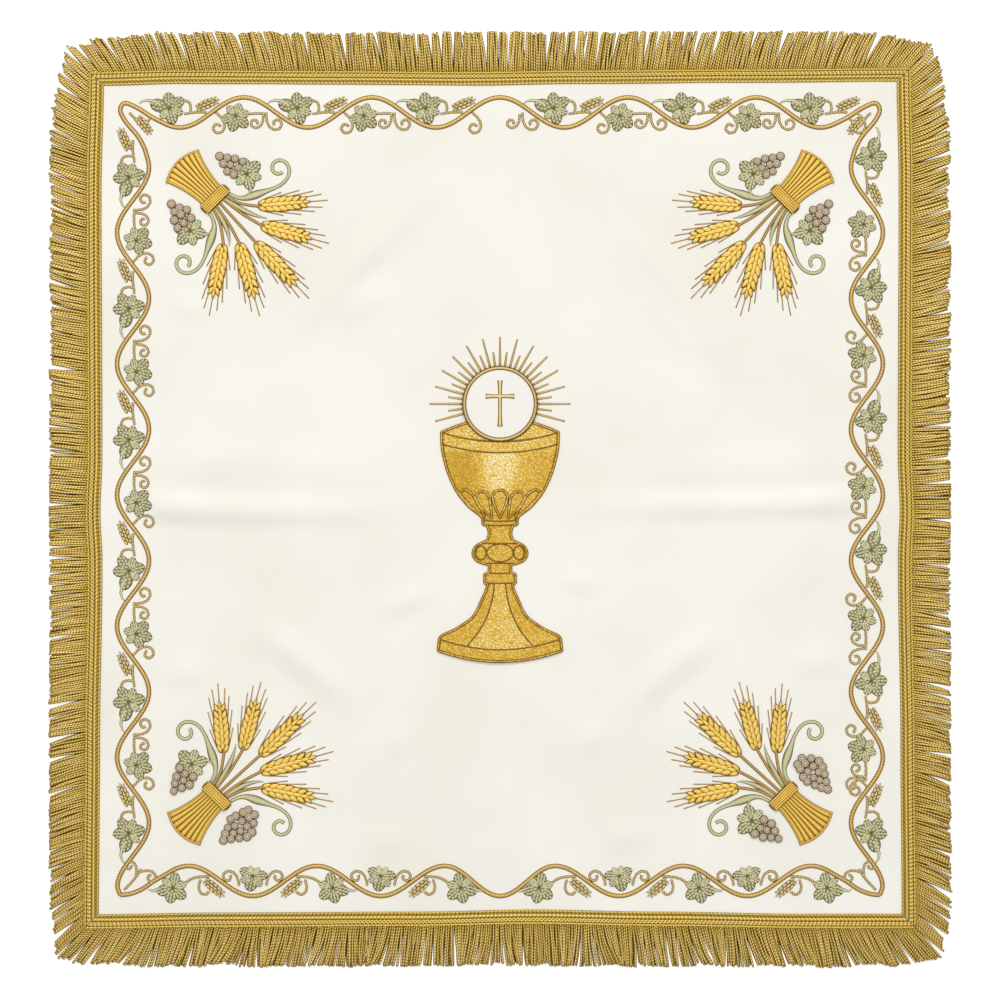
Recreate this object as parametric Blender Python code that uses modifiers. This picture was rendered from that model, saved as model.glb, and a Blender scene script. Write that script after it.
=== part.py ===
"""Chalice veil: ivory satin laid flat, edged with gold braid and a twisted gold fringe.

Sizes are in millimetres and places are handed to Blender in metres, +Z up. The origin is on the
surface that the veil lies on, under its middle. +Y is the top edge and +X the right edge.
"""

import math

import bmesh
import bpy
import numpy as np

MM = 0.001
WELD = 0.000001

# Driving dimensions
VEIL_WIDTH = 549.0        # over the outer edges of the braid, left to right
VEIL_LENGTH = 569.0       # over the outer edges of the braid, bottom to top
CLOTH_THICK = 1.2
GAP = 0.3                 # clearance between the cloth and what is sewn onto it
HEADING_GAP = 0.35        # clearance between the cloth's hem and the fringe's heading
CLOTH_MARGIN = 3.2        # the cloth's hem ends this far inside the braid's outer edge
HEADING_MARGIN = 0.3      # the fringe's heading ends this far inside the braid's outer edge
BRAID_SEGMENTS = 14
CORNER_TRIM_POWER = 2.5   # corner strands are shorter by this power of their nearness to it
FRINGE_THICK = 1.1
FRINGE_TIP_SHARE = 0.7    # the thickness left at a strand's end
REACH_X = 300.3           # the fringe is trimmed to this distance from the middle
REACH_Y = 311.2
MITRE_INSET = 0.25        # half of the gap at each mitred corner, measured along the side
PANEL_COLUMNS = 56
PANEL_ROWS = 60
FLAT_ANGLE = math.radians(0.05)
PILE_BASE = CLOTH_THICK + GAP   # underside of all that is sewn onto the cloth

# Each side: the direction along it, and the direction out of it
SIDES = {
    "top": {"along": (1, 0), "out": (0, 1)},
    "bottom": {"along": (1, 0), "out": (0, -1)},
    "left": {"along": (0, 1), "out": (-1, 0)},
    "right": {"along": (0, 1), "out": (1, 0)},
}

# The braid is pulled a little narrower on some sides: share of its full width that is left
BRAID_SHARE = {"top": 0.89, "bottom": 0.97, "left": 0.98, "right": 0.94}

# How far each edge wanders outwards from a straight line. Columns: place along the side from
# -1 to 1, distance outwards
EDGE_DRIFT = {
    "top": ((-1.0, -0.8), (-0.8, 0.5), (-0.4, 0.0), (-0.08, -0.6), (0.2, 0.4), (0.6, 1.2), (1.0, 2.0)),
    "bottom": ((-1.0, 1.3), (-0.7, 0.2), (-0.2, -0.4), (0.07, -1.8), (0.4, -0.4), (0.75, 1.0), (1.0, 1.0)),
    "left": ((-1.0, 2.0), (-0.6, 1.3), (-0.15, -0.4), (-0.03, 1.0), (0.1, -0.3), (0.75, 0.3), (1.0, -1.3)),
    "right": ((-1.0, 2.0), (-0.6, 1.2), (-0.15, -0.5), (-0.03, 0.7), (0.1, -0.6), (0.75, 0.0), (1.0, -1.3)),
}

# Soft ridges left in the cloth by storage, a row for each. Columns: x and y where the ridge
# starts, x and y where it ends, sideways bow at its middle, height, half width, share of the
# length over which it dies away at the start, and the same at the end
FOLDS = (
    (-246, -5, -40, -3, 0.0, 3.0, 10, 0.18, 0.80),
    (-248, -4, -176, -5, 0.0, 1.2, 13, 0.35, 0.60),
    (34, -1, 248, -1, 0.0, 3.0, 10, 0.70, 0.18),
    (182, -1, 248, -2, 0.0, 1.0, 13, 0.60, 0.35),
    (-238, 24, -70, 20, 3.0, 1.5, 19, 0.30, 0.50),
    (66, 24, 238, 26, -3.0, 1.4, 19, 0.50, 0.30),
    (-143, 102, -32, 221, 3.0, 2.4, 16, 0.30, 0.55),
    (-116, 118, -62, 142, 2.0, 1.6, 15, 0.45, 0.45),
    (72, 196, 162, 71, 4.0, 2.2, 12, 0.45, 0.30),
    (94, 145, 142, 82, 0.0, 1.5, 15, 0.45, 0.45),
    (-170, -80, -86, -148, 4.0, 2.4, 17, 0.35, 0.40),
    (154, -84, 76, -148, -4.0, 2.2, 17, 0.35, 0.40),
    (-90, -77, -36, -58, 0.0, 1.5, 13, 0.45, 0.45),
    (34, -49, 72, -60, 0.0, 1.3, 13, 0.45, 0.45),
    (-80, -160, -56, -164, 0.0, 1.3, 16, 0.50, 0.50),
    (48, -160, 76, -158, 0.0, 1.2, 16, 0.50, 0.50),
    (-96, -226, -54, -230, 0.0, 1.4, 17, 0.50, 0.50),
    (62, -222, 106, -226, 0.0, 1.4, 17, 0.50, 0.50),
    (-230, 130, -184, 127, 0.0, 1.3, 13, 0.50, 0.50),
    (-232, -112, -186, -116, 0.0, 1.3, 15, 0.50, 0.50),
    (188, -106, 234, -110, 0.0, 1.3, 15, 0.50, 0.50),
    (4, 118, 2, 262, 2.0, 1.2, 17, 0.40, 0.30),
    (3, -126, 6, -264, 2.0, 1.4, 17, 0.40, 0.30),
)

# The braid's ribs. Columns: distance in from its outer edge, height of its face
BRAID_RIBS = (
    (0.0, 0.7), (0.9, 1.3), (1.9, 0.8), (3.2, 1.1), (4.5, 0.8),
    (5.9, 1.4), (7.2, 0.8), (8.6, 1.05), (10.0, 0.6),
)

# The fringe: how many locks a side has, their length, the share of it that the first and the last
# lock lack, the seed of their uneven layout, and the place along the side where they point
# straight out
FRINGE_SIDES = {
    "top": {"locks": 72, "length": 26.8, "trims": (0.14, 0.16), "seed": 11, "straight_at": 0.00},
    "bottom": {"locks": 72, "length": 28.0, "trims": (0.0, 0.0), "seed": 23, "straight_at": 0.02},
    "left": {"locks": 74, "length": 26.0, "trims": (0.0, 0.16), "seed": 37, "straight_at": -0.04},
    "right": {"locks": 74, "length": 26.0, "trims": (0.0, 0.16), "seed": 41, "straight_at": -0.03},
}
LEAN_SPREAD = 24.0        # degrees that the locks fan out by along most of a side
LEAN_SPREAD_POWER = 0.9
LEAN_CORNER = 21.0        # further degrees gained close to a corner
LEAN_CORNER_POWER = 1.4
CORNER_FROM = 0.82        # the place along a side where its corner begins
CORNER_HOLD_POWER = 8     # unevenness dies away towards a corner with this power of the place
LEAN_JITTER = 1.3
LOCK_WIDTH_RANGE = (0.70, 1.30)
LOCK_LENGTH_RANGE = (0.93, 1.03)
LOCK_GAP_RANGE = (0.25, 0.95)   # half of the gap between two locks at their tips
LOCK_CURL = 0.25          # share by which a lock leans less at its root and more at its tip

# The padded chalice, a row for each change of its outline. Columns: y at its sides, half of its
# width, how far its front curve hangs below its sides
CHALICE_ROWS = (
    (-100.7, 41.2, 7.3),
    (-92.4, 40.0, 8.4),
    (-86.0, 28.4, 6.0),
    (-77.8, 17.5, 3.0),
    (-67.4, 12.2, 1.2),
    (-56.5, 8.4, 0.6),
    (-55.9, 10.2, 0.6),
    (-49.9, 10.2, 0.4),
    (-49.2, 7.2, 0.3),
    (-43.6, 7.2, 0.3),
    (-42.9, 10.5, 0.3),
    (-40.2, 16.2, 0.4),
    (-36.2, 18.0, 0.4),
    (-32.0, 16.4, 0.4),
    (-28.9, 11.5, 0.3),
    (-27.6, 8.8, 0.3),
    (-22.9, 7.2, 0.3),
    (-17.6, 8.6, 0.4),
    (-16.9, 11.4, 0.6),
    (-13.6, 11.5, 0.8),
    (-4.6, 21.0, 1.5),
    (5.7, 29.0, 2.6),
    (22.0, 35.8, 4.2),
    (36.2, 38.6, 5.6),
    (44.2, 38.9, 6.0),
)
CHALICE_COLUMNS = 4
CHALICE_EDGE = 0.9
CHALICE_CROWN = 1.7

# The padded host and its rays, in rings about its centre
HOST_CENTRE = (0.0, 62.8)
HOST_FLAT_RADIUS = 21.6
HOST_RING_RADIUS = 24.6
VALLEY_RADIUS = 26.2
SHORT_RAY_RADIUS = 35.0
LONG_RAY_RADIUS = 44.5
LEVEL_RAY_RADIUS = 46.8   # the rays that point straight up, left and right
RAY_PITCH = 15.0          # degrees between two long rays
PITCH_STEPS = 4           # points of the outline in one pitch
RAY_LIMIT = 105.0         # degrees from straight up to the last ray
HOST_HEIGHTS = (0.9, 0.9, 1.6, 0.6)
HOST_FOOT_REACHES = (0.0, 18.6, 20.8, 22.4)   # the cup cuts each ring straight at this depth

# The padded wheat sheaf around its binding. Columns: angle from its axis in degrees, distance
SHEAF_OUTLINE = (
    (0, 78), (3, 71), (6, 56), (7, 41), (16, 38), (17, 50), (19, 63), (22.5, 70), (26, 62), (28, 50),
    (30, 37), (38, 33), (39, 46), (42, 58), (45, 63), (48, 58), (51, 47), (53, 32), (66, 17), (90, 11),
    (118, 13), (140, 23), (152, 34), (166, 35.2), (180, 35.8),
)
SHEAF_WAISTS = {
    "top_left": {"centre": (-189.0, 199.0), "heading": -45.0},
    "top_right": {"centre": (189.0, 199.0), "heading": -135.0},
    "bottom_left": {"centre": (-188.0, -197.0), "heading": 45.0},
    "bottom_right": {"centre": (188.0, -197.0), "heading": 135.0},
}
SHEAF_INNER_SHARE = 0.5
SHEAF_HEIGHTS = (1.9, 1.6, 0.7)


def clear_scene():
    """Removes what a new file holds."""
    for old in list(bpy.data.objects):
        bpy.data.objects.remove(old)


def finish(name, colour, roughness, metallic):
    """A plain material with one linear colour."""
    material = bpy.data.materials.new(name)
    material.use_nodes = True
    shader = material.node_tree.nodes["Principled BSDF"]
    shader.inputs["Base Color"].default_value = (*colour, 1.0)
    shader.inputs["Roughness"].default_value = roughness
    shader.inputs["Metallic"].default_value = metallic
    return material


def add_object(name, bm, material):
    """Puts a finished mesh into the veil's collection, an open sheet with its face up."""
    bmesh.ops.recalc_face_normals(bm, faces=bm.faces)
    is_open = any(edge.is_boundary for edge in bm.edges)
    if is_open and sum(face.normal.z for face in bm.faces) < 0.0:
        bmesh.ops.reverse_faces(bm, faces=bm.faces)
    mesh = bpy.data.meshes.new(name)
    bm.to_mesh(mesh)
    bm.free()
    mesh.materials.append(material)
    piece = bpy.data.objects.new(name, mesh)
    bpy.data.collections["chalice_veil"].objects.link(piece)
    return piece


def smooth_step(share):
    """Rises from 0 to 1 with a level start and end."""
    share = np.clip(share, 0.0, 1.0)
    return share * share * (3.0 - 2.0 * share)


def drift(side, t):
    """Distance outwards that a side's edge wanders at t, eased from row to row of its table."""
    places, distances = np.array(EDGE_DRIFT[side]).T
    row = np.clip(np.searchsorted(places, t, side="right") - 1, 0, len(places) - 2)
    share = smooth_step((t - places[row]) / (places[row + 1] - places[row]))
    return distances[row] + share * (distances[row + 1] - distances[row])


def edge_x(side, t, offset):
    """x of the left or right edge at height t, moved outwards by offset."""
    out = SIDES[side]["out"][0]
    return out * (VEIL_WIDTH / 2 + drift(side, t) + offset * BRAID_SHARE[side])


def edge_y(side, t, offset):
    """y of the top or bottom edge at place t, moved outwards by offset."""
    out = SIDES[side]["out"][1]
    return out * (VEIL_LENGTH / 2 + drift(side, t) + offset * BRAID_SHARE[side])


def edge_point(side, t, offset, inset=0.0):
    """A point beside the braid's outer edge: t along the side between the mitred corners."""
    t = np.asarray(t, float)
    share = (t + 1.0) / 2.0
    if side in ("top", "bottom"):
        end = 1.0 if side == "top" else -1.0
        start_x = edge_x("left", end, offset) + inset
        end_x = edge_x("right", end, offset) - inset
        return np.stack((start_x + share * (end_x - start_x), edge_y(side, t, offset)), axis=-1)
    end = 1.0 if side == "right" else -1.0
    start_y = edge_y("bottom", end, offset) + inset
    end_y = edge_y("top", end, offset) - inset
    return np.stack((edge_x(side, t, offset), start_y + share * (end_y - start_y)), axis=-1)


def fold_height(x, y):
    """Height of the cloth's underside: the sum of the ridges, each a cosine hump across its line."""
    height = np.zeros_like(x)
    for x1, y1, x2, y2, bow, rise, half_width, start_fade, end_fade in FOLDS:
        length = math.hypot(x2 - x1, y2 - y1)
        ux, uy = (x2 - x1) / length, (y2 - y1) / length
        along = ((x - x1) * ux + (y - y1) * uy) / length
        across = (y - y1) * ux - (x - x1) * uy - bow * 4.0 * along * (1.0 - along)
        hump = np.cos(np.clip(across / half_width, -1.0, 1.0) * math.pi / 2.0) ** 2
        hump = np.where(np.abs(across) < half_width, hump, 0.0)
        fade = smooth_step(along / start_fade) * smooth_step((1.0 - along) / end_fade)
        height += rise * hump * fade
    return height


def grid_mesh(columns, rows):
    """A grid whose points keep their two fractions, from -1 to 1, in layers."""
    bm = bmesh.new()
    bmesh.ops.create_grid(bm, x_segments=columns, y_segments=rows, size=1.0)
    u_layer = bm.verts.layers.float.new("u")
    v_layer = bm.verts.layers.float.new("v")
    for vert in bm.verts:
        vert[u_layer], vert[v_layer] = vert.co.x, vert.co.y
    return bm, u_layer, v_layer


def padded_form(name, columns, rows, place, height, material):
    """A closed form on a grid: flat underneath, its face raised by height(u, v) over place(u, v)."""
    bm, u_layer, v_layer = grid_mesh(columns, rows)
    for vert in bm.verts:
        x, y = place(vert[u_layer], vert[v_layer])
        vert.co = (x * MM, y * MM, PILE_BASE * MM)
    bmesh.ops.remove_doubles(bm, verts=bm.verts, dist=WELD)
    raised = bmesh.ops.extrude_face_region(bm, geom=bm.faces[:])["geom"]
    for vert in raised:
        if isinstance(vert, bmesh.types.BMVert):
            vert.co.z = (PILE_BASE + height(vert[u_layer], vert[v_layer])) * MM
    return add_object(name, bm, material)


def step_of(fraction, steps):
    """Number of the grid's line that a fraction from -1 to 1 lies on."""
    return round((fraction + 1.0) / 2.0 * steps)


def make_panel(material):
    """The satin, hem included: one sheet over its folds, lying flat between them."""
    bm, u_layer, v_layer = grid_mesh(PANEL_COLUMNS, PANEL_ROWS)
    u = np.array([vert[u_layer] for vert in bm.verts])
    v = np.array([vert[v_layer] for vert in bm.verts])
    left, right = edge_x("left", v, -CLOTH_MARGIN), edge_x("right", v, -CLOTH_MARGIN)
    bottom, top = edge_y("bottom", u, -CLOTH_MARGIN), edge_y("top", u, -CLOTH_MARGIN)
    x = left + (u + 1.0) / 2.0 * (right - left)
    y = bottom + (v + 1.0) / 2.0 * (top - bottom)
    z = fold_height(x, y)
    for vert, place in zip(bm.verts, np.stack((x, y, z), axis=-1) * MM):
        vert.co = place
    panel = add_object("panel", bm, material)
    flats = panel.modifiers.new("merge_flats", "DECIMATE")
    flats.decimate_type = "DISSOLVE"
    flats.angle_limit = FLAT_ANGLE
    shell = panel.modifiers.new("cloth_thickness", "SOLIDIFY")
    shell.thickness = CLOTH_THICK * MM
    shell.offset = 1.0


def make_braid(side, material):
    """One mitred length of ribbed braid, over the hem and the fringe's heading."""
    steps = len(BRAID_RIBS) - 1

    def place(u, v):
        return edge_point(side, u, -BRAID_RIBS[step_of(v, steps)][0], MITRE_INSET)

    def height(u, v):
        return BRAID_RIBS[step_of(v, steps)][1]

    padded_form("braid_" + side, BRAID_SEGMENTS, steps, place, height, material)


def corner_share(t):
    """Rises from 0 where a side's corner begins to 1 at its end."""
    return np.clip((np.abs(t) - CORNER_FROM) / (1.0 - CORNER_FROM), 0.0, 1.0)


def lean_at(side, t):
    """Degrees that the fringe leans along its side: nothing at the middle, 45 at a corner."""
    centre = FRINGE_SIDES[side]["straight_at"]
    shifted = t - centre * (1.0 - t * t)
    spread = LEAN_SPREAD * np.abs(shifted) ** LEAN_SPREAD_POWER
    return np.sign(shifted) * (spread + LEAN_CORNER * corner_share(shifted) ** LEAN_CORNER_POWER)


def lock_layout(side):
    """The lines between a side's locks: place, lean and half gap of each, and each lock's length."""
    draw = np.random.default_rng(FRINGE_SIDES[side]["seed"])
    locks = FRINGE_SIDES[side]["locks"]
    widths = draw.uniform(*LOCK_WIDTH_RANGE, locks)
    t = np.concatenate(([0.0], np.cumsum(widths))) / widths.sum() * 2.0 - 1.0
    jitter = draw.normal(0.0, LEAN_JITTER, locks + 1) * (1.0 - t ** CORNER_HOLD_POWER)
    lean = np.radians(lean_at(side, t) + jitter)
    half_gap = draw.uniform(*LOCK_GAP_RANGE, locks + 1)
    middle = (t[1:] + t[:-1]) / 2.0
    trim = np.where(middle < 0.0, *FRINGE_SIDES[side]["trims"])
    trimmed = 1.0 - trim * corner_share(middle) ** CORNER_TRIM_POWER
    length = FRINGE_SIDES[side]["length"] * trimmed * draw.uniform(*LOCK_LENGTH_RANGE, locks)
    return t, lean, half_gap, length


def lock_points(side, t, lean, sideways_gap, length, share):
    """Points on the lines between locks, a share of the length out, moved sideways by the gap."""
    along, out = np.array(SIDES[side]["along"]), np.array(SIDES[side]["out"])
    root = edge_point(side, t, -HEADING_MARGIN, MITRE_INSET)
    curl = LOCK_CURL * (1.0 - t ** CORNER_HOLD_POWER)
    near, far = lean * (1.0 - curl), lean * (1.0 + curl)
    first = min(share, 0.5) * length
    second = share * length - first
    reach_along = np.sin(near) * first + np.sin(far) * second + np.cos(lean) * sideways_gap * share
    reach_out = np.cos(near) * first + np.cos(far) * second - np.sin(lean) * sideways_gap * share
    point = root + reach_along[:, None] * along + reach_out[:, None] * out
    return np.clip(point, (-REACH_X, -REACH_Y), (REACH_X, REACH_Y))


def make_fringe(side, material):
    """One length of fringe: locks that lie level on the surface, fused at their roots to a heading."""
    t, lean, half_gap, length = lock_layout(side)
    locks = len(length)
    inner = edge_point(side, t, -CLOTH_MARGIN + HEADING_GAP, MITRE_INSET)
    outer = edge_point(side, t, -HEADING_MARGIN, MITRE_INSET)
    bm, u_layer, v_layer = grid_mesh(locks, 1)
    for vert in bm.verts:
        line = step_of(vert[u_layer], locks)
        x, y = (outer if vert[v_layer] > 0 else inner)[line]
        vert.co = (x * MM, y * MM, 0.0)
    roots = [edge for edge in bm.edges if all(vert[v_layer] > 0 for vert in edge.verts)]
    tips = []
    for edge in roots:
        lock = min(step_of(vert[u_layer], locks) for vert in edge.verts)
        lines = slice(lock, lock + 2)
        for share in (0.5, 1.0):
            inwards = half_gap[lines] * np.array((1.0, -1.0))
            points = lock_points(side, t[lines], lean[lines], inwards, length[lock], share)
            grown = bmesh.ops.extrude_edge_only(bm, edges=[edge])["geom"]
            edge = next(item for item in grown if isinstance(item, bmesh.types.BMEdge))
            ends = sorted(edge.verts, key=lambda vert: vert[u_layer])
            for vert, (x, y) in zip(ends, points):
                vert.co = (x * MM, y * MM, 0.0)
        tips.extend(edge.verts)
    bm.verts.index_update()
    tip_numbers = [vert.index for vert in tips]
    fringe = add_object("fringe_" + side, bm, material)
    thick = fringe.vertex_groups.new(name="thick")
    thick.add([vert.index for vert in fringe.data.vertices], 1.0, "REPLACE")
    thick.add(tip_numbers, FRINGE_TIP_SHARE, "REPLACE")
    shell = fringe.modifiers.new("strand_thickness", "SOLIDIFY")
    shell.thickness = FRINGE_THICK * MM
    shell.offset = 1.0
    shell.vertex_group = "thick"


def make_chalice(material):
    """The padded chalice: a cup, knop and spreading foot with a rounded face."""
    steps = len(CHALICE_ROWS) - 1

    def place(u, v):
        side_y, half_width, sag = CHALICE_ROWS[step_of(v, steps)]
        return u * half_width, side_y - sag * (1.0 - u * u)

    def height(u, v):
        return CHALICE_EDGE + CHALICE_CROWN * (1.0 - u * u)

    padded_form("emblem_chalice", CHALICE_COLUMNS, steps, place, height, material)


def host_star():
    """Angles around the host in degrees from straight up, with the outer radius at each."""
    angles, radii = [], []
    for step in range(int(2 * RAY_LIMIT / RAY_PITCH * PITCH_STEPS) + 1):
        angle = -RAY_LIMIT + step * RAY_PITCH / PITCH_STEPS
        long_radius = LEVEL_RAY_RADIUS if angle % 90.0 == 0.0 else LONG_RAY_RADIUS
        pitch_radii = (long_radius, VALLEY_RADIUS, SHORT_RAY_RADIUS, VALLEY_RADIUS)
        angles.append(angle)
        radii.append(pitch_radii[step % PITCH_STEPS])
    for angle in np.arange(RAY_LIMIT + RAY_PITCH / 2, 360.0 - RAY_LIMIT, RAY_PITCH):
        angles.append(angle)
        radii.append(VALLEY_RADIUS)
    angles.append(360.0 - RAY_LIMIT)
    radii.append(radii[0])
    return angles, radii


def make_host(material):
    """The padded host: a flat disc in a raised ring, with long and short rays around its top."""
    angles, radii = host_star()
    rings = len(HOST_HEIGHTS) - 1

    def place(u, v):
        line = step_of(u, len(angles) - 1)
        angle = math.radians(angles[line])
        ring = step_of(v, rings)
        radius = (0.0, HOST_FLAT_RADIUS, HOST_RING_RADIUS, radii[line])[ring]
        below = -math.cos(angle)
        if below > 0.0:
            radius = min(radius, HOST_FOOT_REACHES[ring] / below)
        return HOST_CENTRE[0] + radius * math.sin(angle), HOST_CENTRE[1] + radius * math.cos(angle)

    def height(u, v):
        return HOST_HEIGHTS[step_of(v, rings)]

    padded_form("emblem_host", len(angles) - 1, rings, place, height, material)


def make_sheaf(corner, material):
    """A padded wheat sheaf: five ears fanned out beyond its binding, and its cut stalks behind."""
    mirrored = [(-angle, radius) for angle, radius in reversed(SHEAF_OUTLINE)]
    outline = mirrored + list(SHEAF_OUTLINE[1:])
    centre_x, centre_y = SHEAF_WAISTS[corner]["centre"]
    heading = SHEAF_WAISTS[corner]["heading"]
    rings = len(SHEAF_HEIGHTS) - 1

    def place(u, v):
        angle, reach = outline[step_of(u, len(outline) - 1)]
        radius = reach * (0.0, SHEAF_INNER_SHARE, 1.0)[step_of(v, rings)]
        turn = math.radians(heading + angle)
        return centre_x + radius * math.cos(turn), centre_y + radius * math.sin(turn)

    def height(u, v):
        return SHEAF_HEIGHTS[step_of(v, rings)]

    padded_form("sheaf_" + corner, len(outline) - 1, rings, place, height, material)


def main():
    clear_scene()
    veil = bpy.data.collections.new("chalice_veil")
    bpy.context.scene.collection.children.link(veil)
    make_panel(finish("ivory_satin", (0.90, 0.88, 0.81), 0.42, 0.0))
    braid_gold = finish("braid_gold", (0.60, 0.43, 0.11), 0.38, 0.8)
    fringe_gold = finish("fringe_gold", (0.54, 0.37, 0.11), 0.42, 0.7)
    emblem_gold = finish("emblem_gold", (0.72, 0.50, 0.12), 0.40, 0.5)
    wheat_gold = finish("wheat_gold", (0.66, 0.43, 0.10), 0.45, 0.4)
    for side in SIDES:
        make_braid(side, braid_gold)
        make_fringe(side, fringe_gold)
    make_chalice(emblem_gold)
    make_host(emblem_gold)
    for corner in SHEAF_WAISTS:
        make_sheaf(corner, wheat_gold)


main()
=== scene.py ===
"""The looks of a chalice veil: ivory satin laid flat, gold braid and fringe, sewn and padded work.

Lengths are in millimetres until a mesh is made. The frame's +Y is the edge above the host.
"""

import math

import bmesh
import bpy
import numpy as np
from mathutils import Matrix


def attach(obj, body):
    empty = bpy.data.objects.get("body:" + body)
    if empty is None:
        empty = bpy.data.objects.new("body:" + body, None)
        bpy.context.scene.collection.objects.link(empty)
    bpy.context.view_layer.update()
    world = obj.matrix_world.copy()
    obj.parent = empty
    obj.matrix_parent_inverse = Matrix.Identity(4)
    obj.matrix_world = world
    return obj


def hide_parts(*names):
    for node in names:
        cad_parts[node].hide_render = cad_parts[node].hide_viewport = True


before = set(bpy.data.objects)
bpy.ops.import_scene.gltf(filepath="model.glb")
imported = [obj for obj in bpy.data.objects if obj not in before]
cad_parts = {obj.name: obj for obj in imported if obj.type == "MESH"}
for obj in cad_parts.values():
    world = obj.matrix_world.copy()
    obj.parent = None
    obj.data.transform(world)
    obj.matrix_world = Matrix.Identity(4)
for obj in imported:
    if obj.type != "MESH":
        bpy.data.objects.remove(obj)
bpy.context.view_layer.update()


# The panel: one rectangle of ivory duchesse satin with its edge turned under, laid flat face up.
# It is woven from bright filament, so it is smooth with a soft glow, and soft ridges are left in
# it where it was folded away.
MM = 0.001
VEIL_WIDTH = 549.0
VEIL_LENGTH = 569.0
CLOTH_THICK = 1.2
CLOTH_MARGIN = 3.2        # the hem lies this far inside the braid's outer edge
SATIN_COLUMNS = 144
SATIN_ROWS = 148

# Each side: the directions along it and out of it, its distance from the veil's middle, and the
# sides that it meets at its start and at its end
SIDES = {
    "top": {"along": (1, 0), "out": (0, 1), "half": VEIL_LENGTH / 2, "joins": ("left", "right")},
    "bottom": {"along": (1, 0), "out": (0, -1), "half": VEIL_LENGTH / 2, "joins": ("left", "right")},
    "left": {"along": (0, 1), "out": (-1, 0), "half": VEIL_WIDTH / 2, "joins": ("bottom", "top")},
    "right": {"along": (0, 1), "out": (1, 0), "half": VEIL_WIDTH / 2, "joins": ("bottom", "top")},
}

# Share of its full width that the braid keeps on each side
BRAID_SHARE = {"top": 0.89, "bottom": 0.97, "left": 0.98, "right": 0.94}

# How far each edge wanders outwards from a straight line. Columns: place along the side from
# -1 to 1, distance outwards
EDGE_DRIFT = {
    "top": ((-1.0, -0.8), (-0.8, 0.5), (-0.4, 0.0), (-0.08, -0.6), (0.2, 0.4), (0.6, 1.2), (1.0, 2.0)),
    "bottom": ((-1.0, 1.3), (-0.7, 0.2), (-0.2, -0.4), (0.07, -1.8), (0.4, -0.4), (0.75, 1.0), (1.0, 1.0)),
    "left": ((-1.0, 2.0), (-0.6, 1.3), (-0.15, -0.4), (-0.03, 1.0), (0.1, -0.3), (0.75, 0.3), (1.0, -1.3)),
    "right": ((-1.0, 2.0), (-0.6, 1.2), (-0.15, -0.5), (-0.03, 0.7), (0.1, -0.6), (0.75, 0.0), (1.0, -1.3)),
}

# The ridges left by storage. Columns: x and y where a ridge starts, x and y where it ends,
# sideways bow, height, half width, share of the length over which it dies away at each end
FOLDS = (
    (-246, -5, -26, -5, -3.0, 2.4, 13, 0.18, 0.70),
    (-248, -4, -176, -5, 0.0, 1.2, 13, 0.35, 0.60),
    (12, -3, 248, -1, -2.0, 2.4, 13, 0.60, 0.18),
    (182, -1, 248, -2, 0.0, 1.0, 13, 0.60, 0.35),
    (-238, 24, -70, 20, 3.0, 1.5, 19, 0.30, 0.50),
    (66, 24, 238, 26, -3.0, 1.4, 19, 0.50, 0.30),
    (-143, 102, -32, 221, 3.0, 2.4, 16, 0.30, 0.55),
    (-116, 118, -62, 142, 2.0, 1.6, 15, 0.45, 0.45),
    (72, 196, 162, 71, 4.0, 2.2, 12, 0.45, 0.30),
    (94, 145, 142, 82, 0.0, 1.5, 15, 0.45, 0.45),
    (-170, -80, -86, -148, 4.0, 2.4, 17, 0.35, 0.40),
    (154, -84, 76, -148, -4.0, 2.2, 17, 0.35, 0.40),
    (-90, -77, -36, -58, 0.0, 1.5, 13, 0.45, 0.45),
    (34, -49, 72, -60, 0.0, 1.3, 13, 0.45, 0.45),
    (-80, -160, -56, -164, 0.0, 1.3, 16, 0.50, 0.50),
    (48, -160, 76, -158, 0.0, 1.2, 16, 0.50, 0.50),
    (-96, -226, -54, -230, 0.0, 1.4, 17, 0.50, 0.50),
    (62, -222, 106, -226, 0.0, 1.4, 17, 0.50, 0.50),
    (-230, 130, -184, 127, 0.0, 1.3, 13, 0.50, 0.50),
    (-232, -112, -186, -116, 0.0, 1.3, 15, 0.50, 0.50),
    (188, -106, 234, -110, 0.0, 1.3, 15, 0.50, 0.50),
    (4, 118, 2, 262, 2.0, 1.2, 17, 0.40, 0.30),
    (3, -126, 6, -264, 2.0, 1.4, 17, 0.40, 0.30),
)

# The slight waves between the ridges. Columns: wavelength, direction in degrees, height
SOFT_WAVES = ((93, 15, 0.10), (71, 74, 0.09), (58, 128, 0.08), (44, 40, 0.06), (37, 160, 0.05))
FLOAT_SIZE = (0.7, 5.0)   # width and length: real ones are under 1 mm, so they are drawn longer


def smooth_step(share):
    """Rises from 0 to 1 with a level start and end: 3 s squared less 2 s cubed."""
    share = np.clip(share, 0.0, 1.0)
    return share * share * (3.0 - 2.0 * share)


def drift(side, t):
    """Distance outwards that a side's edge wanders at t, eased from row to row of its table."""
    places, distances = np.array(EDGE_DRIFT[side]).T
    row = np.clip(np.searchsorted(places, t, side="right") - 1, 0, len(places) - 2)
    share = smooth_step((t - places[row]) / (places[row + 1] - places[row]))
    return distances[row] + share * (distances[row + 1] - distances[row])


def edge(side, t, offset):
    """x or y of a side's edge at t: its distance from the middle, its drift and the offset outwards."""
    facing = sum(SIDES[side]["out"])
    return facing * (SIDES[side]["half"] + drift(side, t) + offset * BRAID_SHARE[side])


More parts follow.
